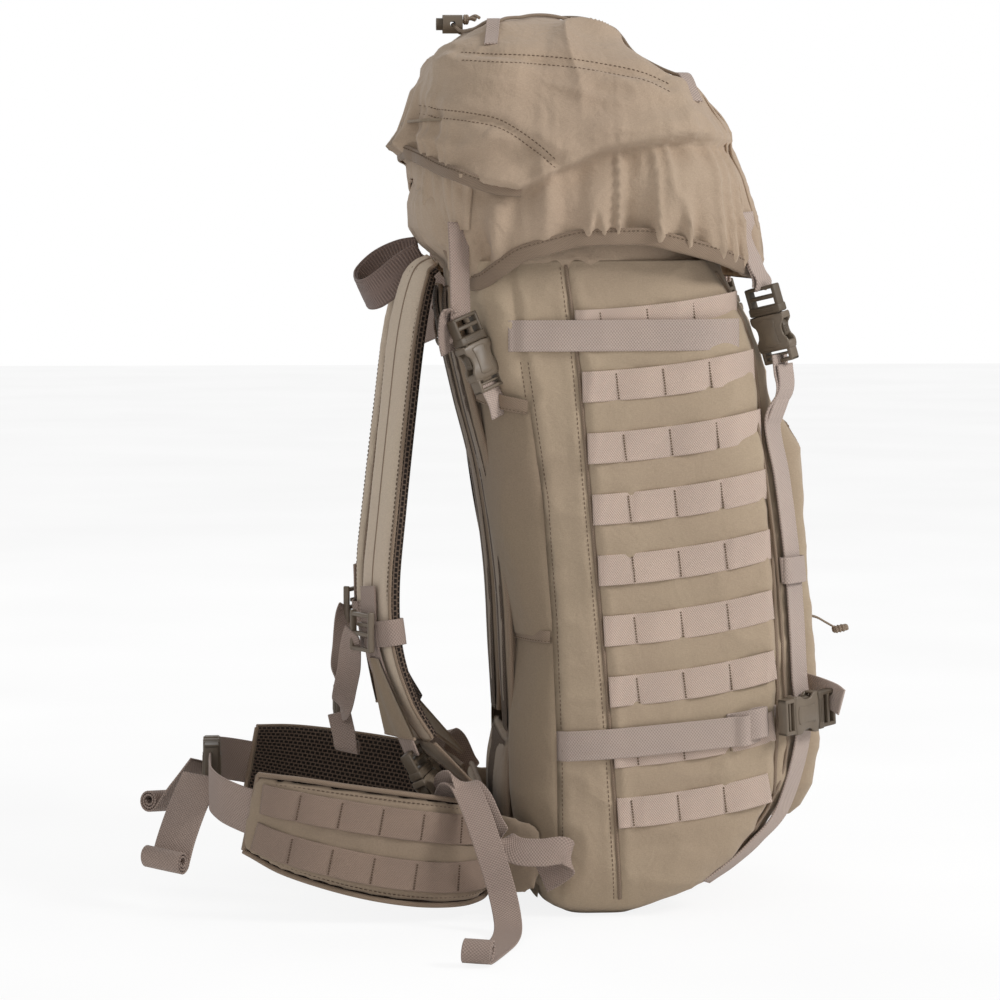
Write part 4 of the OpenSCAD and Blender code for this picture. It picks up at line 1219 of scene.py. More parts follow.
beyond = [(-143, -118, 178), (-136, -114, 181), (-126, -106, 184), (-114, -98, 186), (-104, -92, 187)]
webbing(beyond, (0, 0, 1), 24, 1.8, 2, straps)
make_piece("compression_webbing", straps.both_sides(), "bag", WEBBING, ["compression_straps"])

front = Shape()
across = np.cross(CORNER_OUT, [0, 0, 1])
path = [(-139, -69, 462), (-139, -70, 440)]
path += [corner_at(z, 6.5) for z in (415, 370, 330, 290, 240, 200, 150, 90, 60, 40, 26)]
webbing(path, across, 25, 2, 3, front)
webbing([(-138.5, -64.5, 470), (-139, -66, 455), (-139, -68, 438), corner_at(408, 4.2)],
        across, 24, 1.8, 2, front)
make_piece("front_webbing", front.both_sides(), "bag", WEBBING, ["front_straps"])

keeper = Shape()
middle = corner_at(290, 6.5)
loop = [middle + across * 16 * spow(math.cos(a), 0.5) + CORNER_OUT * 4.4 * spow(math.sin(a), 0.6)
        for a in np.radians(np.linspace(0, 360, 33))]
webbing(loop, (0, 0.1, 1), 22, 1.6, 1.5, keeper)
make_piece("keeper_loops", keeper.both_sides(), "bag", WEBBING, ["strap_keepers"])

corner_piping = Shape()
line = [corner_at(z, 0.8) - across * (-17) for z in range(60, 440, 20)]
tube(line, 1.6, 8, 3, corner_piping)
make_piece("corner_piping", corner_piping.both_sides(), "bag", BINDING)

# ---------------------------------------------------------------- front pocket

POCKET_FRONT = [[72, -90], [80, -98], [100, -106], [140, -110], [390, -92], [420, -76], [430, -66]]
POCKET_HALF = [[72, 70], [80, 76], [100, 88], [140, 96], [390, 88], [424, 76], [430, 72]]
pocket_rows = np.arange(72, 431, 4.0)
across_shares = np.linspace(-1, 1, 71)


def bag_front_at(x, z):
    """The bag's front at a place across it."""
    row = at_height(BAG_SMOOTH, z)
    reach = (row[2] - row[1]) / 2
    return (row[1] + row[2]) / 2 - reach * (1 - np.abs(x / row[3]) ** BAG_SQUARE) ** (1 / BAG_SQUARE)


pocket_grid = []
for z in pocket_rows:
    half = float(table(POCKET_HALF, z)) + 3
    front_y = float(table(POCKET_FRONT, z))
    back_y = bag_front_at(half, z) + 2
    x = half * np.sign(across_shares) * np.abs(across_shares) ** 0.9
    edge = np.clip((np.abs(across_shares) - 0.84) / 0.16, 0, 1)
    y = front_y + 5 * np.abs(across_shares) ** 3
    y = y + (back_y - y) * edge ** 2.4
    x = x * np.where(edge > 0, 1 + 0.012 * np.sin(np.pi * edge), 1)
    pocket_grid.append(np.column_stack([x, y, np.full(len(x), z)]))
pocket_grid = np.array(pocket_grid)
q = mirrored_place(pocket_grid)
gusset = np.clip((np.abs(across_shares) - 0.72) / 0.2, 0, 1)[None, :]
relief = 1.6 * noise(q, (70, 60, 60), 71) + 1.2 * creases(q, (40, 40, 26), 72)
relief = relief * (1 - gusset) + gusset * 2.2 * creases(q, (60, 30, 15), 73)
relief -= 2.0 * bump_at(np.abs(pocket_grid[..., 0]), 62, 3) * (pocket_grid[..., 2] > 110)
up = np.linspace(0, 1, len(pocket_rows))
inset = np.minimum(up * 8, up[::-1] * 8).clip(0, 1)
pocket_grid[..., 1] -= (relief + 1.2) * inset[:, None]
pocket_grid[..., 1] = np.minimum(pocket_grid[..., 1], bag_front_at(pocket_grid[..., 0], 250) + 60)
make_piece("front_pocket_cloth", Shape().grid(pocket_grid), "bag", PACK, ["front_pocket"])
pocket_surface = surface_of(bpy.data.objects["front_pocket_cloth"])


def on_pocket(points, lift):
    """Lays points on the pocket from in front of it."""
    return drape(points, pocket_surface, (0, 1, 0), lift)


zip_tape = Shape()
teeth = Shape()
pocket_seams = Shape()
zip_line = [(0, BEFORE, z) for z in range(152, 385, 4)]
zip_y = on_pocket(zip_line, 0)[:, 1]
zip_fit = np.polyfit([p[2] for p in zip_line], zip_y, 3)
for side in (-1, 1):
    path = [(side * 7.5, np.polyval(zip_fit, p[2]) - 1.6, p[2]) for p in zip_line]
    webbing(path, (1, 0, 0), 13, 0.9, 4, zip_tape)
    for k, z in enumerate(np.arange(153, 383, 2.4)):
        y = float(np.polyval(zip_fit, z)) - 2.9
        shift = 1.2 if side > 0 else 0
        x0, x1 = sorted((side * 2.8, -side * 0.8))
        block(x0, x1, y - 0.8, y + 0.6, z + shift - 0.55, z + shift + 0.55, 0.3, 0.4, teeth)
for x in (-62, 62):
    tube(on_pocket([(x, BEFORE, z) for z in range(112, 414, 8)], 0.2), 1.6, 8, 3, pocket_seams)
top_seam = [(x, BEFORE, 410 - 0.001 * x * x) for x in range(-66, 67, 6)]
tube(on_pocket(top_seam, 0.2), 1.6, 8, 3, pocket_seams)
for x in (-15, 15):
    line = on_pocket([(x, BEFORE, z) for z in range(150, 388, 6)], 0.1)
    dashes(line, (0, -1, 0), *SEAM_STITCH, bag_stitches)
make_piece("zip_tapes", zip_tape, "bag", BINDING, ["pocket_zip"])
make_piece("zip_teeth", teeth, "bag", ZIP)
make_piece("pocket_piping", pocket_seams, "bag", BINDING)
make_piece("bag_stitching", bag_stitches.both_sides(), "bag", STITCH)

# ---------------------------------------------------------------- straps and tabs on the lid

lid_and_collar = surface_of(lid_body, bpy.data.objects["collar"])
rear_in = np.array([0.86, -0.5, 0])

tab = Shape()
tab_rows = []
for up in np.linspace(0, 1, 16):
    reach = 19 * (0.62 + 0.38 * up ** 0.8)
    line = [(-200, 237 - 3 * (1 - up) + reach * u, 573 + 46 * up) for u in np.linspace(-1, 1, 25)]
    tab_rows.append(smooth_line(drape(line, lid_and_collar, rear_in, 3.0), 3))
tab_grid = np.array(tab_rows)
pleat = np.abs(np.sin(np.linspace(0, 3 * math.pi, 25)))[None, :] * np.linspace(0.5, 2.4, 16)[:, None]
tab_grid -= unit(rear_in) * pleat[..., None]
tab.grid(tab_grid)
tab.grid(tab_grid[:, ::-1] + unit(rear_in) * 2.0)
make_piece("rear_tabs", tab.both_sides(), "lid", LID)

rear = Shape()
top = tab_grid[2, 12] + [0.6, -0.4, 0]
plug_top = (REAR_AT @ [0, 0, 22, 1])[:3]
path = [top, top * 0.66 + plug_top * 0.34 + [-3.5, 0, 0], top * 0.33 + plug_top * 0.67 + [-3, 0.5, 0],
        plug_top + [-3, 1, 6], plug_top + [-1, 1, -1]]
webbing(path, (0.62, -0.78, 0.05), 21, 1.8, 2.5, rear)
flap = [plug_top + [-3, 5, 6], plug_top + [-4, 11, 4], plug_top + [-5, 13, -6], plug_top + [-4, 13, -18],
        plug_top + [-2, 11, -28]]
webbing(flap, (0.62, -0.5, 0.1), 20, 1.8, 2.5, rear)
make_piece("rear_webbing", rear.both_sides(), "lid", HARNESS_WEB, ["lid_rear_straps"])

anchor = Shape()
socket_end = (REAR_AT @ [0, 0, -39, 1])[:3]
webbing([socket_end + [0, 1, 4], socket_end, (-148, 172, 431), (-146, 169, 420)],
        unit(np.array([1, -1, 0])), 21, 1.8, 2.5, anchor)
make_piece("anchor_webbing", anchor.both_sides(), "bag", WEBBING, ["lid_anchor_tabs"])

front = Shape()
plug_top = (FRONT_AT @ [0, 0, 22, 1])[:3]
across = unit(np.array([1, -0.8, 0]))
upper = drape([(-178, -104, 588), (-178, -105, 577), (-178, -107, 566)], lid_surface, (0.6, 0.8, 0), 3.0)
halfway = (upper[-1] + plug_top) / 2
path = np.vstack([upper, [halfway + [-2, -1, -3], plug_top + [-2, -1, 8], plug_top + [0, -1, 0]]])
webbing(path, across, 23, 1.8, 2.5, front)
webbing([plug_top + [0, 2, 0], plug_top + [1, 2, 8], halfway + [1, 1.5, 0]], across, 22, 1.8, 2.5, front)
make_piece("lid_front_webbing", front.both_sides(), "lid", WEBBING, ["lid_front_straps"])

lid_seams = Shape()
for away in (0, 15):
    line = [(-178 + away, -104 - away * 0.5, z) for z in (572, 590, 610, 630, 650, 668, 684, 696)]
    laid = smooth_line(drape(resample(line, 3), lid_surface, (0.6, 0.8, 0), 0.4), 3)
    tube(laid, 1.5, 8, 3, lid_seams)
make_piece("lid_seam_piping", lid_seams.both_sides(), "lid", LID)

# ---------------------------------------------------------------- shock cord and its lock


def on_crown(points, lift):
    """Lays points on the lid from above."""
    return drape(points, lid_surface, (0, 0, -1), lift)


lock_low, lock_high = (np.array(v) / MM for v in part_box("cord_lock_barrel"))
lock = (lock_low + lock_high) / 2
loops = [(-106, 172), (112, 14), (-112, 14), (106, 172)]
lift = 2.2
route = [lock + [-3, 0, 0], lock + [-9, -3, -4]]
corners = [(-14, 192)] + loops + [(14, 192)]
for index, (a, b) in enumerate(zip(corners, corners[1:])):
    for share in np.linspace(0, 1, 14)[:-1]:
        x, y = np.array(a) + (np.array(b) - a) * share
        over = 3.2 * math.exp(-((share - 0.5) / 0.12) ** 2) if index == 3 else 0
        route.append(on_crown([(x, y, ABOVE)], lift + over)[0])
route.append(on_crown([(14, 192, ABOVE)], lift)[0])
route += [lock + [9, -3, -4], lock + [3, 0, 0]]
route = resample(np.array(route), 12)
shock = tube(route, 1.5, 8, 3)
shock_cord = make_piece("lid_cord", shock, "lid", CORD, ["shock_cord"])
shock_length = lengths(resample(route, 3))[-1] * MM
[tuple(p * MM) for p in resample(route, 3)]

ends = Shape()
for side in (-1, 1):
    tip = lock + [side * 2.2, -8, 2]
    tube([tip, tip + [side * 2, -7, 3], tip + [side * 4, -12, 2]], 1.5, 8, 1.5, ends)
knot = lock + [0, -13, 4]
turns = np.linspace(0, 4 * math.pi, 26)
tube(np.column_stack([knot[0] + 3.4 * np.cos(turns), knot[1] + 1.2 * np.sin(turns / 2) + 1.5,
                      knot[2] + 3.0 * np.sin(turns)]), 1.5, 8, 1.2, ends)
tube([knot, knot + [-4, -6, 3], knot + [-7, -10, 1]], 1.4, 8, 1.5, ends)
make_piece("lid_cord_ends", ends, "lid", CORD)

tabs = Shape()
for x, y in (loops[0], loops[2]):
    way = unit(np.array([-1, 0.15 if y > 90 else -0.35, 0]))
    inner_end = np.array([x, y, ABOVE]) - way * 2
    places = [inner_end + way * s for s in (0, 6, 12, 20, 28)]
    laid = on_crown(places, 1.4)
    laid[0] += [0, 0, 3.4]
    laid[1] += [0, 0, 2.4]
    webbing(laid, np.cross(way, [0, 0, 1]), 11, 1.6, 2, tabs)
make_piece("cord_tabs", tabs.both_sides(), "lid", WEBBING, ["cord_loops"])

# ---------------------------------------------------------------- pads


def pad_grid(path, across, widths, thicks, sides=36, step=5, power=0.55):
    """Rings of a rounded pad along a path, and the path's own directions."""
    rows = resample(np.column_stack([path, widths, thicks]), step)
    place, wide, thick = rows[:, :3], rows[:, 3], rows[:, 4]
    along, over, face = directions(place, across)
    turn = np.linspace(0, 2 * math.pi, sides + 1)
    c, s = spow(np.cos(turn), power), spow(np.sin(turn), 0.8)
    points = (place[:, None] + over[:, None] * (c[None, :, None] * wide[:, None, None] / 2)
              + face[:, None] * (s[None, :, None] * thick[:, None, None] / 2))
    return points, (place, along, over, face, wide, thick)


def pad_shape(points):
    """A closed pad with rounded ends from its rings."""
    first, last = points[0].mean(axis=0), points[-1].mean(axis=0)
    outward_first = unit(points[0].mean(axis=0) - points[1].mean(axis=0))
    outward_last = unit(points[-1].mean(axis=0) - points[-2].mean(axis=0))
    rings = [first + (points[0] - first) * 0.02 + outward_first * 3.0,
             first + (points[0] - first) * 0.6 + outward_first * 2.6,
             first + (points[0] - first) * 0.88 + outward_first * 1.4]
    rings += list(points)
    rings += [last + (points[-1] - last) * 0.88 + outward_last * 1.4,
              last + (points[-1] - last) * 0.6 + outward_last * 2.6,
              last + (points[-1] - last) * 0.02 + outward_last * 3.0]
    return Shape().grid(np.array(rings))


def edge_binding(frame_rows, shape, size):
    """Rolled binding along both edges of a pad."""
    place, _, over, _, wide, _ = frame_rows
    for side in (-1, 1):
        tube(place + over * (side * wide / 2)[:, None], size, 10, 4, shape)
    return shape


def lining(frame_rows, shape, share=0.86, lift=1.0, rows=9):
    """A cloth face on the wearer's side of a pad, wrapping a little round its edges."""
    place, _, over, face, wide, thick = frame_rows
    side = 1 if face[:, 1].mean() > 0 else -1
    spread = np.linspace(-share, share, rows)
    rise = (1 - np.abs(spread) ** 3.4) ** 0.5
    points = (place[:, None] + over[:, None] * (spread[None, :, None] * wide[:, None, None] / 2)
              + face[:, None] * side * (rise[None, :, None] * (thick[:, None, None] / 2) + lift))
    run = lengths(place)
    uvs = np.stack([np.column_stack([run, spread[k] * wide / 2]) for k in range(rows)], axis=1)
    return shape.grid(points, uvs)


def round_pad(frame_rows, angle, lift, power=0.55):
    """The line along a pad at one angle round its section."""
    place, _, over, face, wide, thick = frame_rows
    c, s = spow(math.cos(angle), power), spow(math.sin(angle), 0.8)
    return place + over * (c * (wide / 2 + lift))[:, None] + face * (s * (thick / 2 + lift))[:, None]


def wrap_angle(side, end, reach, far):
    """How far round a pad's section a wrapped cloth goes, at one of its two edges."""
    return side * math.pi / 2 + end * (math.pi / 2 + (reach if end * side > 0 or far is None else far))


def wrapped(frame_rows, side, reach, lift, columns=21, far=None):
    """A cloth on one side of a pad that reaches round its edges, less on the far one."""
    angles = np.linspace(wrap_angle(side, -1, reach, far), wrap_angle(side, 1, reach, far), columns)
    points = np.stack([round_pad(frame_rows, a, lift) for a in angles], axis=1)
    run = lengths(frame_rows[0])
    around = lengths(points[len(points) // 2])
    uvs = np.stack([np.column_stack([run, np.full(len(run), across)]) for across in around], axis=1)
    return Shape().grid(points, uvs)


def wrapped_edges(frame_rows, side, reach, lift, size, far=None):
    """Piping along both edges of a wrapped cloth."""
    shape = Shape()
    for end in (-1, 1):
        tube(round_pad(frame_rows, wrap_angle(side, end, reach, far), lift), size, 8, 3, shape)
    return shape


def puffed(obj, pressure=4.0, cap=1.0, voxel=4.0):
    bpy.context.view_layer.objects.active = obj
    remesh = obj.modifiers.new("remesh", "REMESH")
    remesh.mode = "VOXEL"
    remesh.voxel_size = voxel * MM
    deps = bpy.context.evaluated_depsgraph_get()
    mesh = bpy.data.meshes.new_from_object(obj.evaluated_get(deps))
    obj.modifiers.clear()
    materials = list(obj.data.materials)
    obj.data = mesh
    rest = np.empty(len(mesh.vertices) * 3)
    mesh.vertices.foreach_get("co", rest)
    cloth = obj.modifiers.new("cloth", "CLOTH")
    cloth.settings.quality = 4
    cloth.settings.mass = 0.2
    cloth.settings.tension_stiffness = 25
    cloth.settings.use_pressure = True
    cloth.settings.uniform_pressure_force = pressure
    cloth.settings.effector_weights.gravity = 0
    cloth.point_cache.frame_start = 1
    cloth.point_cache.frame_end = 20
    for step in range(1, 21):
        scene.frame_set(step)
    deps = bpy.context.evaluated_depsgraph_get()
    result = bpy.data.meshes.new_from_object(obj.evaluated_get(deps))
    moved = np.empty(len(result.vertices) * 3)
    result.vertices.foreach_get("co", moved)
    shift = (moved - rest).reshape(-1, 3)
    far = np.linalg.norm(shift, axis=1, keepdims=True)
    shift *= np.minimum(1, cap * MM / np.maximum(far, 1e-9))
    obj.modifiers.clear()
    mesh.vertices.foreach_set("co", (rest.reshape(-1, 3) + shift).ravel())
    mesh.update()
    scene.frame_set(1)
    smooth = obj.modifiers.new("soft", "SUBSURF")
    smooth.levels = 1
    smooth.render_levels = 1
    deps = bpy.context.evaluated_depsgraph_get()
    final = bpy.data.meshes.new_from_object(obj.evaluated_get(deps))
    obj.modifiers.clear()
    obj.data = final
    final.materials.clear()
    for material in materials:
        final.materials.append(material)
    final.polygons.foreach_set("use_smooth", np.ones(len(final.polygons), bool))
    return obj


def soft_pad(name, grids, body, material, replaced):
    """A pad made of one or more closed rings of points, puffed out."""
    shape = Shape()
    for points in grids:
        shape.join(pad_shape(points))
    obj = make_piece(name, shape, body, material, replaced)
    puffed(obj)
    return obj


def mirror_grid(points):
    """The rings of a pad on the other side of the middle."""
    return points[:, ::-1] * [-1, 1, 1]


# ---------------------------------------------------------------- back padding and lumbar pad

SHEET = [(0, 160, 150), (0, 160, 200), (0, 164, 280), (0, 176, 365), (0, 192, 430), (0, 208, 500),
         (0, 211, 525)]
columns, column_frame = pad_grid(np.array(SHEET, float) + [-74, -3, 0], (1, 0, 0),
                                 [60, 76, 84, 88, 84, 72, 50], [6, 12, 13, 13, 13, 12, 6])
lumbar, lumbar_frame = pad_grid(np.array([(0, 156, 34), (0, 158, 60), (0, 159, 100), (0, 156, 138)], float),
                                (1, 0, 0), [150, 190, 200, 170], [8, 13, 15, 10])
soft_pad("back_pad_covers", [columns, mirror_grid(columns), lumbar], "bag", PAD_CLOTH,
         ["back_pads"])
back_linings = Shape()
lining(column_frame, back_linings)
back_linings.both_sides()
lining(lumbar_frame, back_linings)
make_piece("back_mesh_faces", back_linings, "bag", BACK_MESH)
back_binding = edge_binding(column_frame, Shape(), 2.2).both_sides()
edge_binding(lumbar_frame, back_binding, 2.2)
make_piece("back_binding", back_binding, "bag", BINDING)
belt_middle, middle_frame = pad_grid(np.array([(-100, 178, 56), (-60, 179, 56), (0, 180, 56), (60, 179, 56),
                                               (100, 178, 56)], float), (0, 0, 1), [76, 84, 88, 84, 76],
                                     [8, 13, 13, 13, 8])
soft_pad("lumbar_belt_pad", [belt_middle], "bag", PAD_CLOTH, ["lumbar_belt"])
make_piece("lumbar_belt_mesh", lining(middle_frame, Shape()), "bag", MESH)
make_piece("lumbar_belt_binding", edge_binding(middle_frame, Shape(), 2.2), "bag", BINDING)

# ---------------------------------------------------------------- shoulder straps

PAD_PATH = [(-62, 220, 546), (-62, 232, 534), (-72, 243, 490), (-84, 252, 420), (-96, 261, 340),
            (-104, 267, 275), (-108, 264, 225), (-112, 249, 180), (-116, 228, 146)]
PAD_ACROSS = unit(np.array([1, 0.52, 0]))
pad_way = np.array([-0.52, 1, 0.06])   # off the pads' outer face
pad_out = unit(pad_way)
shoulder, shoulder_frame = pad_grid(np.array(PAD_PATH, float), PAD_ACROSS,
                                    [38, 46, 51, 51, 51, 51, 49, 44, 36], [8, 12, 14, 14, 14, 14, 13, 10, 7])
place, along, over, face, wide, thick = shoulder_frame
outer = 1 if (face @ pad_way).mean() > 0 else -1
soft_pad("shoulder_covers", [shoulder, mirror_grid(shoulder)], "harness", SHOULDER_PAINTED_LIGHT,
         ["shoulder_pads"])
shoulder_cloth = wrapped(shoulder_frame, -outer, 0.55, 1.2, far=-0.5)
make_piece("shoulder_mesh", shoulder_cloth.both_sides(), "harness", MESH,
           ["shoulder_linings"])
shoulder_tapes = wrapped_edges(shoulder_frame, -outer, 0.55, 1.2, 1.6, far=-0.5)
tube(place + face * outer * (thick / 2 + 0.2)[:, None], 1.3, 8, 3, shoulder_tapes)
make_piece("shoulder_binding", shoulder_tapes.both_sides(), "harness", BINDING)
harness_web = Shape()
harness_stitch = Shape()
seam_line = place + face * outer * (thick / 2 + 0.4)[:, None]
for side, away in ((-1, 3.0), (1, 6.5)):
    dashes((seam_line + over * side * away)[3:-3], face[3:-3] * outer, *SEAM_STITCH, harness_stitch)
    rim_line = place + over * (side * (wide / 2 - 5))[:, None] + face * outer * (thick * 0.36)[:, None]
    dashes(rim_line[2:-2], face[2:-2] * outer, *SEAM_STITCH, harness_stitch)
low_path = [np.array(p) + pad_out * 12 for p in ((-104, 267, 275), (-108, 264, 225), (-112, 249, 180),
                                                    (-118, 238, 152))]
plug_end = (ADJUSTER_AT @ [0, 0, 20, 1])[:3]
webbing(low_path + [plug_end], PAD_ACROSS, 24, 1.8, 3, harness_web)
SLIDER_HEIGHT = 238   # of the chest strap's sliders and the bands under them
near = int(np.argmin(np.abs(place[:, 2] - SLIDER_HEIGHT)))
band = [place[near] + over[near] * (wide[near] / 2 + 2.4) * spow(math.cos(a), 0.6)
        + face[near] * (thick[near] / 2 + 4.6) * spow(math.sin(a), 0.7)
        for a in np.radians(np.linspace(0, 360, 41))]
webbing(band, along[near], 22, 1.6, 2, harness_web)
make_piece("harness_webbing", harness_web.both_sides(), "harness", HARNESS_WEB,
           ["adjuster_straps"])
make_piece("harness_stitching", harness_stitch.both_sides(), "harness", STITCH)

flap_rows = []
for share in np.linspace(0, 1, 14):
    middle = between_points([share], (0, 0.5, 1), [(-109, 259, 215), (-112, 250, 183), (-117, 240, 150)])[0]
    middle = middle + pad_out * (15.5 - 2 * share)
    reach = 9 + 14 * share
    row = []
    for u in np.linspace(-1, 1, 13):
        ripple = 2.2 * math.cos(u * 1.4) + 0.9 * math.sin(5 * u + 3 * share)
        row.append(middle + PAD_ACROSS * reach * u + pad_out * ripple)
    flap_rows.append(row)
flap_rows = np.array(flap_rows)
tongue = Shape()
tongue.grid(flap_rows).grid(flap_rows[:, ::-1] - pad_out * 2.2)
flap_edge = Shape()
tube(flap_rows[-1] - pad_out * 1.1, 1.5, 8, 3, flap_edge)
base_low = place[-1]
rows = []
for share in np.linspace(0, 1, 12):
    middle = base_low + pad_out * (7 - 5 * share) + np.array([2, -44, -44]) * share
    reach = 19 * (1 - share) + 2.5
    rows.append([middle + PAD_ACROSS * reach * u + pad_out * 1.2 * math.cos(u * 1.4)
                 for u in np.linspace(-1, 1, 9)])
rows = np.array(rows)
tongue.grid(rows).grid(rows[:, ::-1] - pad_out * 2.4)
make_piece("strap_flaps", tongue.both_sides(), "harness", PACK_PAINTED_SHADE)
for column in (0, -1):
    tube(rows[:, column] - pad_out * 1.2, 1.7, 8, 3, flap_edge)
make_piece("strap_flap_binding", flap_edge.both_sides(), "harness", BINDING)


def roll_end(path, across, radius=8.0, turns=2.2, flip=1):
    """The same path with its end wound into a roll."""
    path = resample(path, 4)
    along, _, face = directions(path, across)
    start, way, normal = path[-1], along[-1], face[-1] * flip
    angles = np.linspace(0.3, 2 * math.pi * turns, int(14 * turns))
    sizes = radius - (radius - 3.2) * angles / angles[-1]
    centre = start + normal * radius
    coil = [centre - normal * r * math.cos(a) + way * r * math.sin(a) for a, r in zip(angles, sizes)]
    return np.vstack([path, coil])


def above_ground(path, across, radius, turns):
    """The same path with its end rolled up on whichever side keeps it off the ground."""
    both = [roll_end(np.array(path, float), across, radius, turns, flip) for flip in (1, -1)]
    return max(both, key=lambda rolled: rolled[:, 2].min())


links = Shape()
socket_low = (ADJUSTER_AT @ [0, 0, -36, 1])[:3]
link = [socket_low + [-4, 0, 4], socket_low + [-10, -1, 16], (-140, 214, 112), (-156, 204, 117),
        (-170, 189, 104), (-178, 177, 80), (-183, 161, 64), (-184, 139, 61), (-181, 119, 62),
        (-174, 113, 53), (-165, 123, 42), (-158, 135, 34)]
webbing(link, [(0.5, 0.7, 0.5), (0.4, 0.8, 0.4), (0.3, 0.9, 0.2), (0.2, 0.3, 0.9), (0.1, 0, 1), (0.1, 0, 1)],
        23, 1.8, 2.5, links)
link_piece = make_piece("lower_webbing", links.both_sides(), None, HARNESS_WEB,
                        ["adjuster_links"])
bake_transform(link_piece)

tail = Shape()
tail_path = [socket_low + [-7, 2, 2], socket_low + [-14, -2, 14], (-150, 208, 112), (-166, 199, 112),
             (-181, 190, 92), (-191, 184, 74), (-198, 177, 52), (-204, 171, 30), (-215, 168, 13),
             (-234, 169, 5), (-264, 175, 2.6), (-300, 186, 2.2), (-330, 196, 2.2), (-346, 201, 3)]
tail_path = above_ground(tail_path, (0.1, 1, 0.1), 9.5, 2.4)
webbing(tail_path, (0.15, 1, 0.05), 23, 1.8, 2.5, tail)
tail_piece = make_piece("lower_webbing_tails", tail.both_sides(), None, HARNESS_WEB,
                        ["adjuster_tails"])
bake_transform(tail_piece)

corner = Shape()
rows = []
for share in np.linspace(0, 1, 8):
    y0, y1 = 131 + 4 * share, 154 - 14 * share
    z = 64 - 54 * share
    lift = 5 - 1.5 * share
    rows.append([(-side_x(y, max(z, 20)) - lift - 1.2 * math.sin(3 * k / 8), y, z)
                 for k, y in enumerate(np.linspace(y0, y1, 9))])
rows = np.array(rows)
corner.grid(rows).grid(rows[:, ::-1] + [2.6, 0, 0])
make_piece("corner_tabs", corner.both_sides(), "bag", PACK_PAINTED_SHADE, ["harness_corner_tabs"])

# ---------------------------------------------------------------- chest strap

slider = Shape()
for side in (-1, 1):
    x0, x1 = sorted((side * 13.4, side * 17))
    block(x0, x1, -3, 2.4, -17, 17, 0.9, 1.4, slider)
for z in (-15.2, -2.4, 13.6):
    block(-16.6, 16.6, -2.8, 2.2, z - 1.7, z + 1.7, 0.8, 1.0, slider)
block(-13, 13, -4.4, -2.4, 3, 6.4, 0.6, 0.8, slider)
slider = slider.moved(placed((-113, 283, SLIDER_HEIGHT), (27, "Z")))
make_piece("chest_sliders", slider.both_sides(), "sternum", BUCKLE, ["sternum_sliders"])
chest = Shape()
chest_path = [(-103, 291, 237), (-95, 292, 220), (-84, 293, 203), (-70, 296, 184), (-58, 298, 170)]
twist = [(0.2, 0.3, 1), (0.25, 1, 0.6), (0.1, 1, 0.2), (0.05, 1, 0.1), (0.1, 0.7, 0.5), (0.1, 0.2, 1),
         (0, 0, 1)]
webbing(chest_path + [(-44, 298, 163), (-18, 298, 160)], twist, 20, 1.6, 2.5, chest)
webbing([(-x, y, z) for x, y, z in chest_path + [(-52, 298, 164), (-49, 298, 161)]],
        [(-x, y, z) for x, y, z in twist], 20, 1.6, 2.5, chest)
spare = [(-26, 300, 158), (-32, 298, 149), (-36, 296, 140), (-38, 295, 132)]
webbing(roll_end(np.array(spare, float), (0.3, 1, 0.2), 6.5, 2.0), (0.3, 1, 0.2), 20, 1.5, 2, chest)
make_piece("chest_webbing", chest, "sternum", HARNESS_WEB, ["sternum_strap"])

# ---------------------------------------------------------------- haul loop

HAUL = [(-30, 227, 549), (-32, 241, 541), (-31, 257, 528), (-22, 270, 519), (0, 278, 518), (20, 277, 526),
        (30, 262, 541), (32, 244, 550), (30, 228, 553)]
HAUL_ACROSS = [(0, 0.55, 0.85), (0, 0.7, 0.75), (0.1, 0.55, 0.85), (0, 0.35, 1), (0, 0.2, 1), (0, 0.2, 1)]
haul = webbing(HAUL, HAUL_ACROSS, 29, 2.0, 2.5)
webbing(np.array(HAUL) + [0, -0.6, 0], HAUL_ACROSS, 26, 3.6, 2.5, haul)
haul_web = web("haul_webbing", linear(128, 110, 102), 2.6, 30)
make_piece("haul_handle_web", haul, "haul_handle", haul_web, ["haul_loop"])

# ---------------------------------------------------------------- hip belt wings

BELT_PATH = [(-114, 182, 54), (-132, 190, 54), (-150, 206, 56), (-161, 234, 60), (-165, 270, 66),
             (-163, 310, 74), (-154, 346, 82), (-140, 376, 90)]
wing, wing_frame = pad_grid(np.array(BELT_PATH, float), (0, 0.12, 1), [70, 78, 84, 88, 88, 84, 78, 66],
                            [8, 11, 12, 12, 12, 12, 11, 8])
ROOT_PATH = [(-148, 138, 50), (-142, 154, 51), (-132, 168, 53), (-120, 179, 54)]
root_pad = pad_grid(np.array(ROOT_PATH, float), (0, 0.12, 1), [56, 66, 70, 70], [6, 9, 10, 8])[0]
place, _, over, face, wide, thick = wing_frame
outer = 1 if face[len(face) // 2, 0] < 0 else -1
wing_rows = Shape()
wing_tacks = Shape()
run = lengths(place)
ROW_START = 12   # where the belt's rows begin, along it
BELT_CELL = 34   # and the distance between their bar tacks
for share in (0.235, -0.235):
    line = place + over * (wide * share)[:, None] + face * outer * (thick / 2 + 1.2)[:, None]
    keep = (run > ROW_START) & (run < run[-1] - 9)
    cells = (run - ROW_START) / BELT_CELL
    line = line + face * outer * (1.3 * np.abs(np.sin(np.pi * cells)) ** 0.7)[:, None]
    webbing(line[keep], over[keep], 25.4, 1.5, 2.2, wing_rows)
    for edge in range(1, int((run[-1] - 9 - ROW_START) / BELT_CELL) + 1):
        at = [ROW_START + BELT_CELL * edge]
        spot, up, out = (between_points(at, run, values)[0] for values in (line, over, face))
        out = out * outer
        tack = [spot - up * 11.4 + out * 0.8, spot + up * 11.4 + out * 0.8]
        dashes(tack, out, *BAR_TACK, wing_tacks)
seam = place + face * outer * (thick / 2 + 0.2)[:, None]
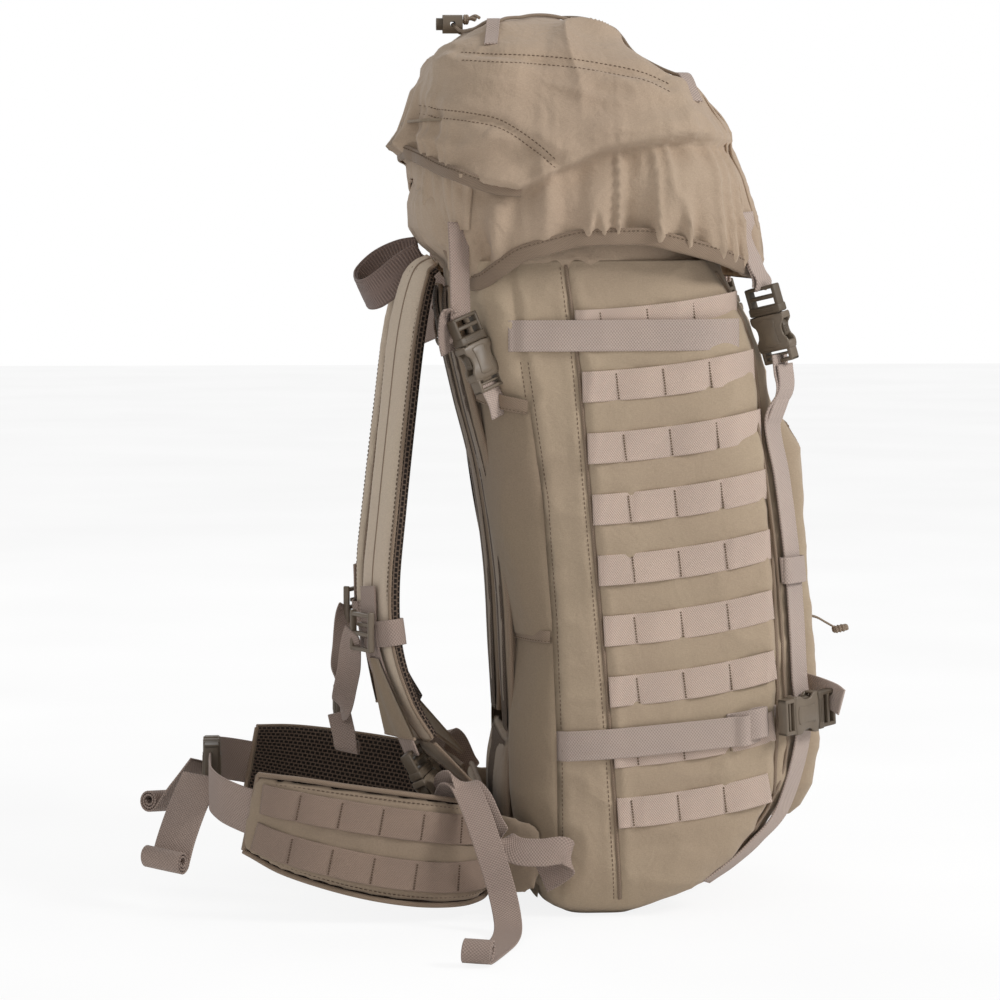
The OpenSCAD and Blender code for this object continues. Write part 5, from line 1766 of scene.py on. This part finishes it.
dashes(seam[3:-3], face[3:-3] * outer, 2.4, 1.6, 0.8, 0.45, wing_tacks)
for side in (-1, 1):
    line = place + over * (side * (wide / 2 - 5.5))[:, None] + face * outer * (thick * 0.37)[:, None]
    dashes(line[3:-3], face[3:-3] * outer, 2.4, 1.6, 0.7, 0.4, wing_tacks)
wing_mesh = wrapped(wing_frame, -outer, 0.12, 1.2)
wing_binding = wrapped_edges(wing_frame, -outer, 0.16, 1.2, 2.2)
tip = [place[-1] + over[-1] * wide[-1] / 2 * u for u in np.linspace(-1, 1, 9)]
tube(tip, 2.6, 10, 3, wing_binding)
BELT_TURNS = {"left": (Shape.itself, np.array), "right": (Shape.mirrored, mirror_grid)}
for side, (turn_shape, turn_grid) in BELT_TURNS.items():
    body = "belt_" + side
    soft_pad(f"wing_{side}_pad", [turn_grid(wing)], body, PAD_CLOTH,
             [f"belt_wing_{side}"])
    for name, shape, material, slot in (("rows", wing_rows, BELT_ROWS, "ladder_webbing"),
                                        ("tacks", wing_tacks, BARTACK, "binding"),
                                        ("mesh", wing_mesh, MESH, "spacer_mesh"),
                                        ("binding", wing_binding, BINDING, "binding")):
        make_piece(f"wing_{side}_{name}", turn_shape(shape), body, material)
    soft_pad(f"belt_{side}_root", [turn_grid(root_pad)], "bag", PAD_CLOTH, [])
    belt = Shape()
    inner_x = -17 if side == "left" else -50
    belt_line = [(-146, 366, 88), (-137, 384, 93), (-120, 400, 98), (-96, 409, 102), (-70, 411, 104),
                 (inner_x, 411, 104)]
    webbing(belt_line, (0, 0, 1), 38, 2, 3, belt)
    if side == "left":
        tail_line = [(-48, 418, 108), (-54, 423, 98), (-62, 432, 78), (-70, 440, 56), (-78, 445, 38)]
        tail_across = (0.55, 0.85, 0.1)
    else:
        tail_line = [(-50, 419, 106), (-52, 428, 94), (-56, 440, 78), (-60, 449, 64)]
        tail_across = (0.8, 0.6, 0.1)
    webbing(above_ground(tail_line, tail_across, 9.5, 2.4), tail_across, 38, 1.9, 2.5, belt)
    make_piece(f"belt_{side}_web", turn_shape(belt), body, HARNESS_WEB, [f"belt_strap_{side}"])

# ---------------------------------------------------------------- zip pull, and CAD pieces that stay

pull_high = np.array(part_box("zip_pull")[1]) / MM
pull = Shape()
root = np.array([0, pull_high[1] - 1, pull_high[2] - 2])
for side in (-1, 1):
    tube([root + [side * 3.2, 0, 0], root + [side * 3.6, -9, -2], root + [side * 2.6, -18, -7],
          root + [side * 1.6, -25, -11]], 0.9, 8, 1.5, pull)
tube([root + [-3.2, 0, 0], root + [0, 1, 0.5], root + [3.2, 0, 0]], 0.9, 8, 1.5, pull)
grip = block(-5, 5, -2.5, 2.5, -7, 7, 1.2, 2)
for z in (-4, -1, 2):
    block(-5.4, 5.4, -2.9, 2.9, z - 0.7, z + 0.7, 0.4, 0.5, grip)
pull.join(grip.moved(placed(root + [0, -30, -12], (78, "X"))))
make_piece("zip_pull_cord", pull, "slider_pull", CORD, ["zip_pull"])

for node, material in (("frame_sheet", DARK_PLASTIC), ("frame_stays", ALLOY), ("lid_floor", PACK_PAINTED_SHADE),
                       ("cord_lock_barrel", BUCKLE), ("cord_lock_plunger", BUCKLE_DARK),
                       ("cord_lock_spring", STEEL), ("zip_slider", ZIP)):
    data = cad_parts[node].data
    data.materials.clear()
    data.materials.append(material)

# ---------------------------------------------------------------- floor, light and finish


def floor_plane():
    """A large white floor just under the ground, brightened where the camera sees it."""
    size = 12
    low = -0.0005
    mesh = bpy.data.meshes.new("studio_floor")
    mesh.from_pydata([(-size, -size, low), (size, -size, low), (size, size, low), (-size, size, low)],
                     [], [(0, 1, 2, 3)])
    n = Nodes("studio_floor", 0.9, 0.1)
    tone = n.ramp(n.noise(2, 2), [(0.3, linear(250, 250, 250)), (0.7, linear(253, 253, 253))])
    glow = n.node("ShaderNodeEmission")
    glow.inputs["Strength"].default_value = 1.04
    n.link(tone, glow.inputs["Color"])
    seen_floor = n.node("ShaderNodeMixShader")
    seen = n.node("ShaderNodeLightPath").outputs["Is Camera Ray"]
    n.link(n.math("MULTIPLY", seen, 0.86), seen_floor.inputs["Fac"])
    n.link(n.shader.outputs[0], seen_floor.inputs[1])
    n.link(glow.outputs[0], seen_floor.inputs[2])
    material = n.done(tone)
    n.link(seen_floor.outputs[0], n.tree.nodes["Material Output"].inputs["Surface"])
    mesh.materials.append(material)
    obj = bpy.data.objects.new("studio_floor", mesh)
    scene.collection.objects.link(obj)


def soft_light(name, place, target, size, power):
    """A round lamp in metres and watts."""
    data = bpy.data.lights.new(name, "AREA")
    data.shape = "DISK"
    data.size = size
    data.energy = power
    obj = bpy.data.objects.new(name, data)
    scene.collection.objects.link(obj)
    look_at(obj, place, target)


floor_plane()
world = bpy.data.worlds.new("studio")
world.use_nodes = True
SKY = 0.52   # how strongly the white room lights the pack; the camera sees it as pure white
tree = world.node_tree
seen = tree.nodes.new("ShaderNodeLightPath")
lit = tree.nodes["Background"]
lit.inputs["Strength"].default_value = SKY
lit.inputs["Color"].default_value = (1, 1, 1, 1)
white = tree.nodes.new("ShaderNodeBackground")
white.inputs["Color"].default_value = (1, 1, 1, 1)
either = tree.nodes.new("ShaderNodeMixShader")
tree.links.new(seen.outputs["Is Camera Ray"], either.inputs["Fac"])
tree.links.new(lit.outputs[0], either.inputs[1])
tree.links.new(white.outputs[0], either.inputs[2])
tree.links.new(either.outputs[0], tree.nodes["World Output"].inputs["Surface"])
scene.world = world
middle = (0, 0.05, 0.35)
soft_light("key", (-1.7, -2.9, 2.6), middle, 1.2, 84)
soft_light("fill", (-3.0, 1.6, 1.2), middle, 2.2, 9)
soft_light("far", (2.6, 1.0, 2.2), middle, 2.0, 16)
